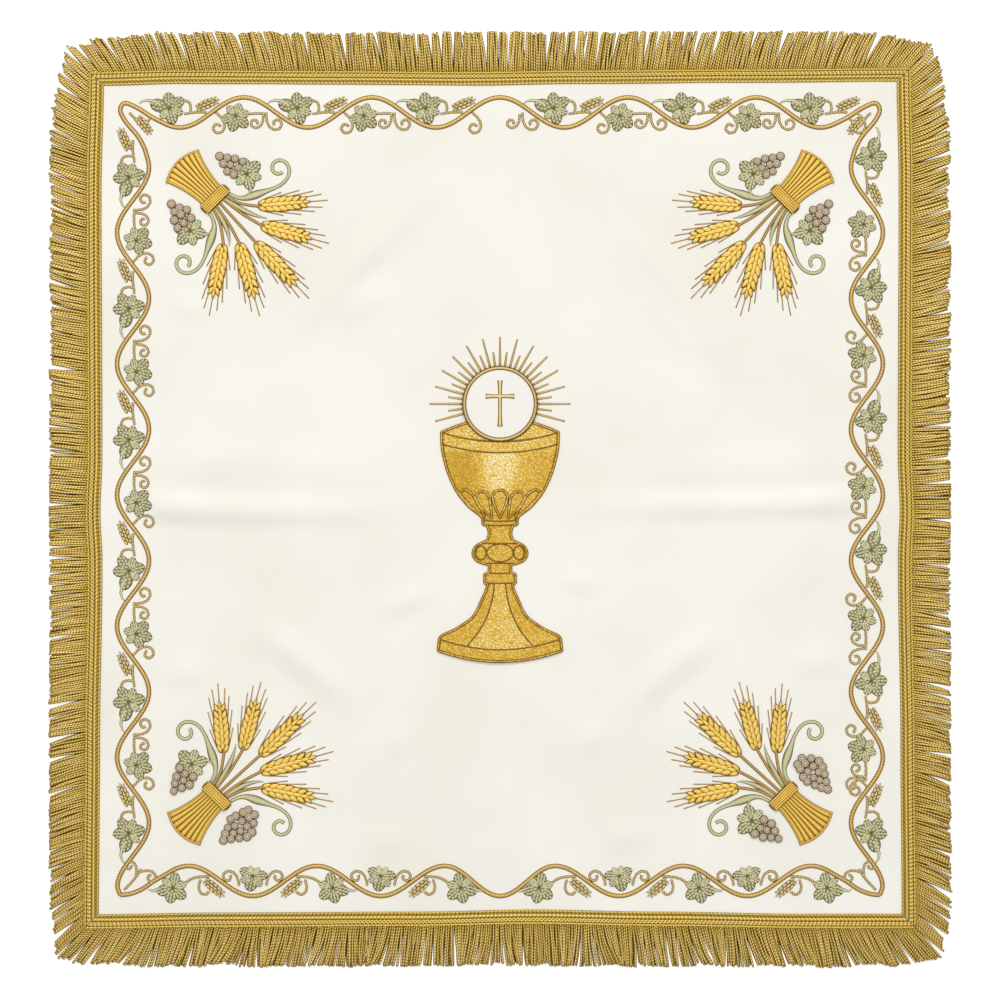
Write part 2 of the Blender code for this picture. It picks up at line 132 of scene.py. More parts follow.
def edge_point(side, t, offset, inset=0.0):
    """Points beside the braid's outer edge: t from -1 to 1 is spread between the two mitres.

    The top and right sides meet the others at their t of 1, the bottom and left ones at -1.
    """
    facing = sum(SIDES[side]["out"])
    start, end = (edge(joined, facing, offset) for joined in SIDES[side]["joins"])
    run = start + inset + (t + 1.0) / 2.0 * (end - start - 2.0 * inset)
    place = (run, edge(side, t, offset))
    return np.stack(place if SIDES[side]["along"] == (1, 0) else place[::-1], axis=-1)


def cloth_height(x, y):
    """Height of the cloth's underside: a squared cosine hump across each ridge's line, and waves."""
    height = np.zeros_like(x)
    for x1, y1, x2, y2, bow, rise, half_width, start_fade, end_fade in FOLDS:
        length = math.hypot(x2 - x1, y2 - y1)
        ux, uy = (x2 - x1) / length, (y2 - y1) / length
        along = ((x - x1) * ux + (y - y1) * uy) / length
        across = (y - y1) * ux - (x - x1) * uy - bow * 4.0 * along * (1.0 - along)
        hump = np.cos(np.clip(across / half_width, -1.0, 1.0) * math.pi / 2.0) ** 2
        height += rise * hump * smooth_step(along / start_fade) * smooth_step((1.0 - along) / end_fade)
    for wavelength, heading, rise in SOFT_WAVES:
        turn = math.radians(heading)
        phase = (x * math.cos(turn) + y * math.sin(turn)) * math.tau / wavelength
        height += rise * 0.5 * (1.0 + np.sin(phase))
    return height


def on_cloth(points, lift):
    """Lays points (x, y) on the cloth's face, raised by lift."""
    x, y = points[..., 0], points[..., 1]
    return np.stack((x, y, cloth_height(x, y) + CLOTH_THICK + lift), axis=-1)


def linear(hex_colour):
    """An sRGB hex colour as linear light with full alpha."""
    shares = [int(hex_colour[place : place + 2], 16) / 255.0 for place in (1, 3, 5)]
    return (*(s / 12.92 if s <= 0.04045 else ((s + 0.055) / 1.055) ** 2.4 for s in shares), 1.0)


def new_material(name, **sockets):
    """A material whose Principled shader has the given constant sockets: its tree and shader."""
    material = bpy.data.materials.new(name)
    material.use_nodes = True
    shader = material.node_tree.nodes["Principled BSDF"]
    for socket, value in sockets.items():
        shader.inputs[socket.replace("_", " ")].default_value = value
    return material, material.node_tree, shader


def add_node(tree, kind, inputs, steps=None, **settings):
    """Adds one node with its inputs, by name or in order, and its settings.

    An input is a value, an output, or a node whose first output is taken. Steps are the places of
    a colour ramp with their hex colours.
    """
    node = tree.nodes.new("ShaderNode" + kind)
    for setting, value in settings.items():
        setattr(node, setting, value)
    for socket, value in inputs.items() if isinstance(inputs, dict) else enumerate(inputs):
        if isinstance(value, bpy.types.Node):
            value = value.outputs[0]
        if isinstance(value, bpy.types.NodeSocket):
            tree.links.new(value, node.inputs[socket])
        else:
            node.inputs[socket].default_value = value
    if steps:
        elements = node.color_ramp.elements
        while len(elements) < len(steps):
            elements.new(0.5)
        for element, (place, hex_colour) in zip(elements, steps.items()):
            element.position = place
            element.color = linear(hex_colour)
    return node


def add_piece(name, parts, material, slot, *replaced):
    """Puts parts into one mesh that rides on the veil.

    A part is (points in mm, blocks of faces with equal corner counts, {attribute: values}).
    """
    points = np.concatenate([part[0] for part in parts]) * MM
    starts = np.cumsum([0] + [len(part[0]) for part in parts])
    blocks = [block + start for part, start in zip(parts, starts) for block in part[1]]
    corners = np.concatenate([np.full(len(block), block.shape[1]) for block in blocks])
    mesh = bpy.data.meshes.new(name)
    mesh.vertices.add(len(points))
    mesh.vertices.foreach_set("co", points.ravel())
    mesh.loops.add(int(corners.sum()))
    mesh.loops.foreach_set("vertex_index", np.concatenate([block.ravel() for block in blocks]))
    mesh.polygons.add(len(corners))
    mesh.polygons.foreach_set("loop_start", np.cumsum(corners) - corners)
    for key in parts[0][2]:
        values = np.concatenate([part[2][key] for part in parts])
        mesh.attributes.new(key, "FLOAT", "POINT").data.foreach_set("value", values)
    mesh.update(calc_edges=True)
    bm = bmesh.new()
    bm.from_mesh(mesh)
    bmesh.ops.recalc_face_normals(bm, faces=bm.faces)
    bm.to_mesh(mesh)
    bm.free()
    mesh.shade_smooth()
    mesh.materials.append(material)
    piece = bpy.data.objects.new(name, mesh)
    bpy.context.scene.collection.objects.link(piece)
    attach(piece, "root")
    if replaced:
        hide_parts(*replaced)
    return piece


def make_panel(material):
    """The face of the cloth on a grid of two fractions, u across and v up, then its thickness."""
    u, v = np.meshgrid(np.linspace(-1, 1, SATIN_COLUMNS + 1), np.linspace(-1, 1, SATIN_ROWS + 1))
    left, right = edge("left", v, -CLOTH_MARGIN), edge("right", v, -CLOTH_MARGIN)
    bottom, top = edge("bottom", u, -CLOTH_MARGIN), edge("top", u, -CLOTH_MARGIN)
    x = left + (u + 1.0) / 2.0 * (right - left)
    y = bottom + (v + 1.0) / 2.0 * (top - bottom)
    points = np.stack((x, y, cloth_height(x, y)), axis=-1).reshape(-1, 3)
    number = np.arange(u.size).reshape(u.shape)
    corners = (number[:-1, :-1], number[:-1, 1:], number[1:, 1:], number[1:, :-1])
    quads = np.stack(corners, axis=-1).reshape(-1, 4)
    panel = add_piece("satin_panel", [(points, [quads], {})], material, "satin", "panel")
    if panel.data.polygons[0].normal.z < 0.0:
        panel.data.flip_normals()
    shell = panel.modifiers.new("cloth_thickness", "SOLIDIFY")
    shell.thickness = CLOTH_THICK * MM
    shell.offset = 1.0
    return panel


# Duchesse satin, woven from bright filament and pressed: a smooth face with a broad soft sheen,
# and floats that run up the cloth and catch the light in short streaks
satin, tree, shader = new_material(
    "duchesse_satin_ivory", Roughness=0.46, Sheen_Weight=0.12, Sheen_Roughness=0.4, Specular_IOR_Level=0.35
)
place = add_node(tree, "TexCoord", ()).outputs["Object"]
floats_in_metre = [1.0 / (size * MM) for size in FLOAT_SIZE]
floats = add_node(tree, "Mapping", {"Vector": place, "Scale": (*floats_in_metre, 1.0)})
streaks = add_node(tree, "TexNoise", {"Vector": floats, "Scale": 1.0, "Detail": 2.0})
clouds = add_node(tree, "TexNoise", {"Vector": place, "Scale": 9.0, "Detail": 3.0})
tint = add_node(tree, "ValToRGB", {"Fac": clouds}, {0.35: "#efebdf", 0.62: "#f5f2e9"})
tree.links.new(tint.outputs["Color"], shader.inputs["Base Color"])
bump = add_node(tree, "Bump", {"Height": streaks, "Strength": 0.12, "Distance": 0.0004})
tree.links.new(bump.outputs["Normal"], shader.inputs["Normal"])

panel = make_panel(satin)


# The fringe: four lengths of trade fringe an inch long, two-ply strands of gold thread wound on a
# silk core, let into a narrow heading tape that is stitched beside the hem. The strands lie on the
# table in uneven locks that fan out towards the corners.
MITRE_INSET = 0.25        # half of the gap at each mitred corner
HEADING_GAP = 0.35        # clearance between the hem and the heading
HEADING_MARGIN = 0.3      # the heading ends this far inside the braid's outer edge
HEADING_THICK = 1.1
HEADING_SHADE = 0.25

# Each side: how many locks it has, their length, the share of it that they lack in the first and
# in the last corner, the seed of their uneven layout, the place where they point straight out,
# half the widest gap between two of them, and how far from the veil's middle they are trimmed
FRINGE_SIDES = {
    "top": {
        "locks": 72, "length": 26.8, "trims": (0.14, 0.16), "seed": 11,
        "straight": 0.00, "gap": 2.2, "reach": 311.2,
    },
    "bottom": {
        "locks": 72, "length": 28.0, "trims": (0.0, 0.0), "seed": 23,
        "straight": 0.02, "gap": 1.3, "reach": 311.2,
    },
    "left": {
        "locks": 74, "length": 26.0, "trims": (0.0, 0.16), "seed": 37,
        "straight": -0.04, "gap": 2.1, "reach": 300.3,
    },
    "right": {
        "locks": 74, "length": 26.0, "trims": (0.0, 0.16), "seed": 41,
        "straight": -0.03, "gap": 2.1, "reach": 300.3,
    },
}
LEAN_SPREAD = (24.0, 0.9)   # degrees that the locks fan out by along a side, power of the place
LEAN_CORNER = (21.0, 1.4)   # further degrees gained in a corner, power of the nearness to it
LEAN_JITTER = 1.3
CORNER_FROM = 0.82        # the place along a side where its corner begins
CORNER_TRIM_POWER = 2.5   # a corner's locks are shorter by this power of their nearness to it
CORNER_HOLD_POWER = 8     # unevenness dies away towards a corner with this power of the place
LOCK_WIDTHS = (0.70, 1.30)
LOCK_LENGTHS = (0.93, 1.03)
LOCK_GAP_LEAST = 0.10
LOCK_GAP_POWER = 1.4      # the higher it is, the fewer of the gaps open into wedges
LOCK_CURL = 0.25          # share by which a strand leans less at its root and more at its tip

# The strands lie in two layers: half thickness across and up, corners of the section, rings along
# a strand, lowest and highest middle, brightness, narrowing to the tip
STRAND_LAYERS = {
    "upper": {"half": (0.86, 0.70), "sides": 5, "rings": 14, "lift": (1.0, 1.6), "shine": 1.0, "taper": 0.06},
    # The lower layer is less bright: painted shade under the upper strands
    "lower": {"half": (1.30, 0.50), "sides": 3, "rings": 5, "lift": (0.6, 0.7), "shine": 0.88, "taper": 0.35},
}
STRAND_PITCH = 1.55       # from one strand of a layer to the next at the heading
STRAND_CROSSING = 2.0     # from one crossing of the two plies to the next
PLY_SLANT = 0.3           # crossings by which the plies slant over half a strand's width
PLY_TOP = 0.25            # the twist on a ply's back, and all over a part that has no plies
STRAND_BURIED = 1.2       # length of a strand that is hidden in the heading
STRAND_SINK = 0.3         # share of its free height by which a strand sinks to its tip
STRAND_LENGTHS = (0.03, 0.92, 1.05)   # spread, least and greatest share of the lock's length
STRAND_TONES = (0.80, 1.08)
TRIM_UNEVEN = 0.8
LEAN_WANDER = 1.2
STRAY_SHARE = 0.08
STRAY_LEAN = 4.0
SWAY = (2.6, 8.0, 6.3)    # degrees that a strand sways, its wave along the strand, range of its start
TIP_BEND = {"top": 4.0, "bottom": 19.0, "left": 5.0, "right": 5.0}   # degrees that groups bend aside
GROUP_WAVES = ((31.0, 0.0), (53.0, 1.0))   # waves of that bend along a side, and where they start
# Painted shade from the braid over the strands' roots
ROOT_SHADE = (0.72, 0.3)  # brightness of a strand at the heading, share of its length until it is full


def corner_share(t):
    """Rises from 0 where a side's corner begins to 1 at its end."""
    return np.clip((np.abs(t) - CORNER_FROM) / (1.0 - CORNER_FROM), 0.0, 1.0)


def lean_at(side, t):
    """Degrees that the fringe leans along its side: nothing at the middle, 45 at a corner."""
    shifted = t - FRINGE_SIDES[side]["straight"] * (1.0 - t * t)
    spread = LEAN_SPREAD[0] * np.abs(shifted) ** LEAN_SPREAD[1]
    return np.sign(shifted) * (spread + LEAN_CORNER[0] * corner_share(shifted) ** LEAN_CORNER[1])


def lock_layout(side):
    """The lines between a side's locks: place, lean and half gap of each, and each lock's length."""
    table = FRINGE_SIDES[side]
    draw = np.random.default_rng(table["seed"])
    locks = table["locks"]
    widths = draw.uniform(*LOCK_WIDTHS, locks)
    t = np.concatenate(([0.0], np.cumsum(widths))) / widths.sum() * 2.0 - 1.0
    jitter = draw.normal(0.0, LEAN_JITTER, locks + 1) * (1.0 - t**CORNER_HOLD_POWER)
    lean = np.radians(lean_at(side, t) + jitter)
    half_gap = LOCK_GAP_LEAST + table["gap"] * draw.random(locks + 1) ** LOCK_GAP_POWER
    middle = (t[1:] + t[:-1]) / 2.0
    trim = np.where(middle < 0.0, *table["trims"])
    trimmed = 1.0 - trim * corner_share(middle) ** CORNER_TRIM_POWER
    length = table["length"] * trimmed * draw.uniform(*LOCK_LENGTHS, locks)
    return t, lean, half_gap, length


def circle(corners):
    """Angles spread evenly round a circle, and its points (cosine, sine)."""
    around = np.arange(corners) * math.tau / corners
    return around, np.column_stack((np.cos(around), np.sin(around)))


def sweep(points, **values):
    """A part of closed sweeps, with values at its points (paths, rings, corners, 3).

    Quads run round and along each path, and one flat face closes it at each end.
    """
    shape = points.shape[:-1]
    number = np.arange(math.prod(shape)).reshape(shape)
    near, far = number[:, :-1], number[:, 1:]
    quads = np.stack((near, np.roll(near, -1, 2), np.roll(far, -1, 2), far), axis=-1)
    ends = np.concatenate((number[:, 0], number[:, -1, ::-1]))
    values = {key: np.broadcast_to(value, shape).ravel() for key, value in values.items()}
    return points.reshape(-1, 3), [quads.reshape(-1, 4), ends], values


def strand_part(side, layer):
    """A layer of a side's strands: oval sweeps, each on a line whose lean grows to its tip.

    The twist attribute counts the crossings of the plies, which slant across the strand.
    """
    t, lean, half_gap, length = lock_layout(side)
    kind = STRAND_LAYERS[layer]
    along, out = np.array(SIDES[side]["along"]), np.array(SIDES[side]["out"])
    draw = np.random.default_rng([FRINGE_SIDES[side]["seed"], kind["rings"]])
    line = edge_point(side, t, -HEADING_MARGIN, MITRE_INSET)
    widths = np.linalg.norm(np.diff(line, axis=0), axis=1)
    counts = np.maximum(2, np.rint(widths / STRAND_PITCH)).astype(int)
    lock = np.repeat(np.arange(len(length)), counts)
    within = np.arange(len(lock)) - np.repeat(np.cumsum(counts) - counts, counts)
    across = (within + 0.5) / counts[lock]

    def between(values, far_values):
        """Mixes the values of the lines on both sides of a strand's lock by its place in it."""
        return values[lock] * (1.0 - across) + far_values[lock + 1] * across

    strands = len(lock)
    place = between(t, t)
    free = 1.0 - place**CORNER_HOLD_POWER
    stray = np.where(draw.random(strands) < STRAY_SHARE, draw.normal(0.0, STRAY_LEAN, strands), 0.0)
    angle = between(lean, lean) + np.radians(draw.normal(0.0, LEAN_WANDER, strands) + stray) * free
    spread, least, greatest = STRAND_LENGTHS
    reach = length[lock] * np.clip(draw.normal(1.0, spread, strands), least, greatest)
    root = edge_point(side, place, -HEADING_MARGIN - STRAND_BURIED, MITRE_INSET)
    room = (FRINGE_SIDES[side]["reach"] - np.abs(root @ out)) / np.cos(angle)
    reach = np.minimum(reach + STRAND_BURIED, room - draw.uniform(0.0, TRIM_UNEVEN, strands))

    share = np.linspace(0.0, 1.0, kind["rings"])
    degrees, rate, starts = SWAY
    sway = np.radians(degrees) * np.sin(share * rate + draw.uniform(0.0, starts, strands)[:, None])
    group = sum(np.sin(wave * place + start) for wave, start in GROUP_WAVES)
    bend = np.radians(TIP_BEND[side]) * 0.5 * group * free
    curl = 1.0 + (LOCK_CURL * free)[:, None] * (2.0 * share - 1.0)
    heading = angle[:, None] * curl + sway + bend[:, None] * share
    step = reach[:, None] * (share[1] - share[0])
    middle = (heading[:, 1:] + heading[:, :-1]) / 2.0
    go_along = np.pad(np.cumsum(np.sin(middle) * step, axis=1), ((0, 0), (1, 0)))
    go_out = np.pad(np.cumsum(np.cos(middle) * step, axis=1), ((0, 0), (1, 0)))
    shift = between(half_gap, -half_gap)[:, None] * share**LOCK_GAP_POWER

    sideways = np.cos(heading)[..., None] * along - np.sin(heading)[..., None] * out
    centre = root[:, None] + go_along[..., None] * along + go_out[..., None] * out
    centre = centre + shift[..., None] * sideways
    sink = STRAND_SINK * share * (kind["lift"][0] - kind["half"][1])
    lift = draw.uniform(*kind["lift"], strands)[:, None] - sink
    around = math.pi / 2 + circle(kind["sides"])[0]
    wide, high = kind["half"][0] * np.cos(around), kind["half"][1] * np.sin(around)
    taper = 1.0 - kind["taper"] * share[:, None, None]
    flat = centre[:, :, None] + wide[:, None] * taper * sideways[:, :, None]
    points = np.concatenate((flat, (lift[..., None] + high)[..., None]), axis=-1)
    # Painted light and shade: each strand is lit along its back and shaded on its sides and near the heading
    dark, lit_from = ROOT_SHADE
    shade = np.maximum(np.sin(around), 0.0) * draw.uniform(*STRAND_TONES, strands)[:, None, None]
    shade = shade * (dark + (1.0 - dark) * smooth_step(share / lit_from))[:, None] * kind["shine"]
    crossings = (share * reach[:, None] / STRAND_CROSSING + draw.random((strands, 1)))[..., None]
    return sweep(points, shade=shade, twist=crossings + PLY_SLANT * np.cos(around))


def heading_part(side):
    """The heading tape: a flat box section carried along the side under the braid."""
    t = np.linspace(-1.0, 1.0, 80)
    inner = edge_point(side, t, HEADING_GAP - CLOTH_MARGIN, MITRE_INSET)
    outer = edge_point(side, t, -HEADING_MARGIN, MITRE_INSET)
    ring = ((inner, 0.0), (outer, 0.0), (outer, HEADING_THICK), (inner, HEADING_THICK))
    points = np.stack([np.column_stack((line, np.full(len(t), z))) for line, z in ring], axis=1)
    return sweep(points[None], shade=HEADING_SHADE, twist=PLY_TOP)


def twisted_weave(tree):
    """The height of slanting plies from 0 to 1: a sine of the twist attribute, one turn to a ply."""
    turns = add_node(tree, "Attribute", (), attribute_name="twist").outputs["Fac"]
    angle = add_node(tree, "Math", (turns, math.tau), operation="MULTIPLY")
    wave = add_node(tree, "Math", (angle,), operation="SINE")
    return add_node(tree, "Math", (wave, 0.5, 0.5), operation="MULTIPLY_ADD")


def thread_material(name, steps, roughness, metallic, grain, depth, weave=twisted_weave, speckle=0.36):
    """A thread finish: its colour follows the part's painted light and shade, cut by its weave.

    Grain is the real spacing in mm of the wrapped strip or the filaments, drawn as flecks that
    change the brightness by up to half the speckle. Depth is how much painted shade darkens the
    weave's hollows.
    """
    material, tree, shader = new_material(name, Roughness=roughness, Metallic=metallic)
    shade = add_node(tree, "Attribute", (), attribute_name="shade").outputs["Fac"]
    place = add_node(tree, "TexCoord", ()).outputs["Object"]
    flecks = add_node(tree, "TexNoise", {"Vector": place, "Scale": 1.0 / (grain * MM), "Detail": 2.0})
    relief = weave(tree)
    cut = add_node(tree, "Math", (relief, depth, 1.0 - depth), operation="MULTIPLY_ADD")
    woven = add_node(tree, "Math", (shade, cut), operation="MULTIPLY")
    change = add_node(tree, "Math", (flecks, speckle, -speckle / 2), operation="MULTIPLY_ADD")
    shown = add_node(tree, "Math", (woven, change), operation="ADD")
    colours = add_node(tree, "ValToRGB", {"Fac": shown}, steps)
    tree.links.new(colours.outputs["Color"], shader.inputs["Base Color"])
    height = add_node(tree, "Math", (relief, 0.7, flecks), operation="MULTIPLY_ADD")
    bump = add_node(tree, "Bump", {"Height": height, "Strength": 0.3, "Distance": 0.0003})
    tree.links.new(bump.outputs["Normal"], shader.inputs["Normal"])
    return material


# Gilt thread: a thin gilt strip wound on a silk core and plied in twos. A painted highlight runs
# along the back of each strand, and painted shade turns it brown in the grooves and under the braid
fringe_gold = thread_material(
    "gilt_wound_fringe_thread", {0.05: "#7b5e16", 0.45: "#d3af44", 0.95: "#fff0b6"},
    roughness=0.48, metallic=0.6, grain=1.1, depth=0.72,
)

for side in SIDES:
    parts = [*(strand_part(side, layer) for layer in STRAND_LAYERS), heading_part(side)]
    add_piece(f"fringe_strands_{side}", parts, fringe_gold, "fringe", f"fringe_{side}")


# The braid: four lengths of ten-millimetre gimp braid, plaited from gold cord, laid over the hem
# and the fringe's heading and mitred at the corners. From the outside in it has a twisted cord, two
# thin cords wound round each other, a bright raised chain, a low dull line and a selvedge chain.
BRAID_WIDTH = 10.0
BRAID_UNDERSIDE = 1.35
BRAID_FLOOR = 0.45        # height of the ground between the rows
BRAID_PITCH = 2.6         # length of one crossing of the plait
BRAID_STEP = 0.52         # from one modelled section to the next
BRAID_DIP = 0.45          # share of its height that a row loses between two crossings
# The ground between the braid's rows is dark with painted shade in its pits
BRAID_PIT_SHADE = 0.08       # brightness of the ground
BRAID_SLANT = 2.2         # width over which the thread's crossings shift by one

# The braid's rows. Columns: distance of a row's middle from the outer edge, half width, height, slant
# of its crossings in pitches over the half width, whether they meet in a V, brightness of the
# crossings and of the dips between them, which is painted highlight and painted shade
BRAID_ROWS = (
    (0.75, 0.75, 0.75, 0.35, False, 1.05, 0.30),
    (6.20, 1.10, 0.95, 0.45, True, 1.05, 0.38),
    (7.75, 0.45, 0.30, 0.00, False, 0.62, 0.04),
    (9.10, 0.90, 0.60, 0.30, True, 0.86, 0.30),
)
BRAID_LINES = (           # where its face is modelled, in from the outer edge
    0.0, 0.35, 0.75, 1.15, 1.5, 1.9, 2.3, 2.7, 3.1, 3.5, 3.9, 4.3, 4.7,
    5.1, 5.5, 5.9, 6.3, 6.8, 7.3, 7.75, 8.2, 8.7, 9.2, 9.7, BRAID_WIDTH,
)
# A wound cord's shine is a painted highlight along its crest
WOUND_CORDS = {"middle": 3.25, "swing": 0.95, "half": 0.66, "rise": 0.80, "shine": 0.88}


def braid_relief(s, w):
    """Height and painted light and shade of the braid's face at s along it and w in from its outer edge.

    Each row is half an ellipse across, cut by the cosine of its slanting crossings. The wound
    cords are humps that follow a sine and its mirror image.
    """
    height = np.full(s.shape, BRAID_FLOOR)
    shade = np.full(s.shape, BRAID_PIT_SHADE)
    for middle, half_width, rise, slant, is_vee, bright, dim in BRAID_ROWS:
        across = (w - middle) / half_width
        hump = np.sqrt(np.clip(1.0 - across**2, 0.0, 1.0))
        lag = slant * (np.abs(across) if is_vee else across)
        crossing = 0.5 + 0.5 * np.cos(math.tau * (s / BRAID_PITCH + lag))
        height += rise * hump * (1.0 - BRAID_DIP + BRAID_DIP * crossing)
        shade = np.maximum(shade, hump * (dim + (bright - dim) * crossing))
    swing = WOUND_CORDS["swing"] * np.sin(math.pi * s / BRAID_PITCH)
    for centre in (WOUND_CORDS["middle"] + swing, WOUND_CORDS["middle"] - swing):
        hump = np.sqrt(np.clip(1.0 - ((w - centre) / WOUND_CORDS["half"]) ** 2, 0.0, 1.0))
        height = np.maximum(height, BRAID_FLOOR + WOUND_CORDS["rise"] * hump)
        shade = np.maximum(shade, WOUND_CORDS["shine"] * hump**1.5)
    return height, shade


def braid_part(side):
    """The braid's section, its relief above and flat below, carried from mitre to mitre."""
    length = 2.0 * SIDES[SIDES[side]["joins"][0]]["half"]
    t = np.linspace(-1, 1, int(length / BRAID_STEP) + 1)
    along = edge_point(side, t, -BRAID_WIDTH / 2, MITRE_INSET) @ SIDES[side]["along"]
    height, shade = braid_relief(*np.meshgrid(along, BRAID_LINES, indexing="ij"))
    flat = np.stack([edge_point(side, t, -line, MITRE_INSET) for line in BRAID_LINES], axis=1)
    face = np.concatenate((flat, (BRAID_UNDERSIDE + height)[..., None]), axis=-1)
    under = face[:, (-1, 0)] * (1.0, 1.0, 0.0) + (0.0, 0.0, BRAID_UNDERSIDE)
    across = np.array((*BRAID_LINES, BRAID_WIDTH, 0.0))
    twist = along[:, None] / BRAID_PITCH * 2.0 + across / BRAID_SLANT
    points = np.concatenate((face, under), axis=1)
    return sweep(points[None], shade=np.pad(shade, ((0, 0), (0, 2))), twist=twist)


# Gimp: gilt thread wound on cotton and plaited. Painted highlights sit on its crossings, and
# painted shade makes it almost brown in the pits between them
braid_gold = thread_material(
    "gilt_gimp_braid", {0.05: "#624809", 0.45: "#d6b248", 0.95: "#fde790"},
    roughness=0.5, metallic=0.5, grain=0.9, depth=0.3,
)
braid = [
    add_piece(f"gimp_braid_{side}", [braid_part(side)], braid_gold, "braid", f"braid_{side}")
    for side in SIDES
]


# The vine: a gold cord couched down in a wave along all four sides. It loops inside the two upper
# corners and comes to a point in the two lower ones. Small dark stitches cross it, and the bands
# along it are painted glints on its plies with painted shade between them.
CLEARANCE = 0.05          # between the cloth and what is sewn on it
VINE_STEP = 1.1           # from one modelled point of the cord to the next
VINE_CORD = {"half_width": 1.55, "rise": 0.85, "lift": CLEARANCE, "crossing": 2.2, "rim": 0.25}
BEAD_ASIDE = 0.28         # how far the knots of a cord step aside, times its narrowing

# Each wave: distance of its middle line from the veil's middle, swing, half a wavelength
TOP_WAVE = (257.0, 10.0, 42.6)
SIDE_WAVE = (244.0, 10.6, 43.6)
BOTTOM_WAVE = (254.0, 10.0, 42.6)
SIDE_WAVE_START = 2.7
BOTTOM_HUMP = 36.6        # half the length of the shorter wave at the bottom's middle
WAVE_ENDS = {"side": (-254.0, 228.0), "top": -223.0, "bottom": -222.0}

# Where the cord leaves its waves in a left corner. Columns: x, y
LOWER_POINT = ((-252.4, -263.4), (-254.2, -258.6))
LOWER_START = ((-252.4, -263.4), (-245.4, -262.4), (-238.0, -259.4), (-230.0, -254.0))
UPPER_LOOP = (
    (-236.6, 233.5), (-241.0, 241.5), (-249.0, 251.0), (-252.5, 258.5), (-249.4, 263.2), (-240.7, 259.8),
    (-232.0, 254.2),
)

# A cord's section. Rows: place across it, height, brightness. The brightness is a painted
# highlight along the crest and painted shade down the sides, and at the edges partly the real
# brown of a sewn cord's edge
CORD_SECTION = (
    (-1.0, -0.68, -0.4, 0.0, 0.4, 0.68, 1.0),
    (0.0, 0.6, 0.88, 1.0, 0.88, 0.6, 0.0),
    (0.0, 0.12, 0.92, 1.0, 0.92, 0.12, 0.0),
)


def smooth_line(knots, step):
    """A Catmull-Rom line through (x, y) knots, as points an even step apart."""
    knots = np.asarray(knots, float)
    ends = (2.0 * knots[:1] - knots[1:2], 2.0 * knots[-1:] - knots[-2:-1])
    knots = np.concatenate((ends[0], knots, ends[1]))
    a, b, c, d = (knots[first : len(knots) - 3 + first, None] for first in range(4))
    t = np.linspace(0.0, 1.0, 16, endpoint=False)[:, None]
    cubic = (3.0 * (b - c) - a + d) * t**3 + (2.0 * a - 5.0 * b + 4.0 * c - d) * t**2
    line = (0.5 * (cubic + (c - a) * t) + b).reshape(-1, 2)
    line = np.concatenate((line, knots[-2:-1]))
    run = np.concatenate(([0.0], np.cumsum(np.linalg.norm(np.diff(line, axis=0), axis=1))))
    even = np.linspace(0.0, run[-1], max(3, int(run[-1] / step) + 1))
    return np.column_stack((np.interp(even, run, line[:, 0]), np.interp(even, run, line[:, 1])))


def cords_part(lines, half_width, rise, lift, crossing=0.0, rim=0.0, tone=1.0, bead=0.0):
    """Sewn cords: half an oval carried along each line on the cloth, closed flat underneath.

    Lines are (cords, points, 2) or one (points, 2), and the half width may change along them. Rim
    is the brightness of a cord's edges, and tone that of the whole. The twist attribute counts
    crossings of the given length. Bead is how much a cord narrows between its crossings, which
    then stand straight and step aside.
    """
    across, up, bright = np.array(CORD_SECTION)
    lines = lines.reshape(-1, *lines.shape[-2:])
    ahead = np.gradient(lines, axis=1)
    ahead = ahead / np.linalg.norm(ahead, axis=-1, keepdims=True)
    sideways = np.stack((-ahead[..., 1], ahead[..., 0]), axis=-1)
    step = np.linalg.norm(np.diff(lines, axis=1), axis=-1)
    run = np.pad(np.cumsum(step, axis=1), ((0, 0), (1, 0)))[..., None]
    half = np.broadcast_to(half_width, lines.shape[:2])[..., None]
    twist = run / crossing + PLY_SLANT * across if crossing else PLY_TOP
    if bead:
        half = half * (1.0 - bead * np.cos(math.pi * run / crossing) ** 2)
        lines = lines + BEAD_ASIDE * bead * np.sin(math.pi * run / crossing) * sideways
        twist = run / crossing - PLY_TOP
    flat = lines[:, :, None] + (half * across)[..., None] * sideways[:, :, None]
    points = on_cloth(flat, lift + rise * np.sqrt(half / half.max()) * up)
    return sweep(points, shade=tone * (rim + (1.0 - rim) * bright), twist=twist)


def vine_lines():
    """The cord from lower corner over the top to lower corner, and the one along the bottom."""
    middle, swing, half = SIDE_WAVE
    y = np.linspace(*WAVE_ENDS["side"], 90)
    side = np.column_stack((-middle - swing * np.cos(math.pi * (y - SIDE_WAVE_START) / half), y))
    middle, swing, half = TOP_WAVE
    x = np.linspace(WAVE_ENDS["top"], 0.0, 50)
    top = np.column_stack((x, middle + swing * np.cos(math.pi * x / half)))
    middle, swing, half = BOTTOM_WAVE
    x = np.linspace(WAVE_ENDS["bottom"], 0.0, 50)
    place = np.where(x > -BOTTOM_HUMP, x / BOTTOM_HUMP + 1.0, (x + BOTTOM_HUMP) / half)
    foot = np.column_stack((x, -middle + swing * np.cos(math.pi * place)))
    halves = (np.concatenate((LOWER_POINT, side, UPPER_LOOP, top)), np.concatenate((LOWER_START, foot)))
    return [smooth_line(np.concatenate((left, left[-2::-1] * (-1.0, 1.0))), VINE_STEP) for left in halves]


# Couched gold cord: plied gilt thread with a brown silk core, held by small brown stitches. A
# painted highlight runs along its crest, with painted shade down its sides
vine_gold = thread_material(
    "couched_gold_cord", {0.05: "#7d5a20", 0.5: "#b08a3d", 0.95: "#d9b76f"},
    roughness=0.5, metallic=0.55, grain=0.9, depth=0.3,
)
vine_parts = [cords_part(line, **VINE_CORD) for line in vine_lines()]
vine = add_piece("couched_vine_cord", vine_parts, vine_gold, "vine")
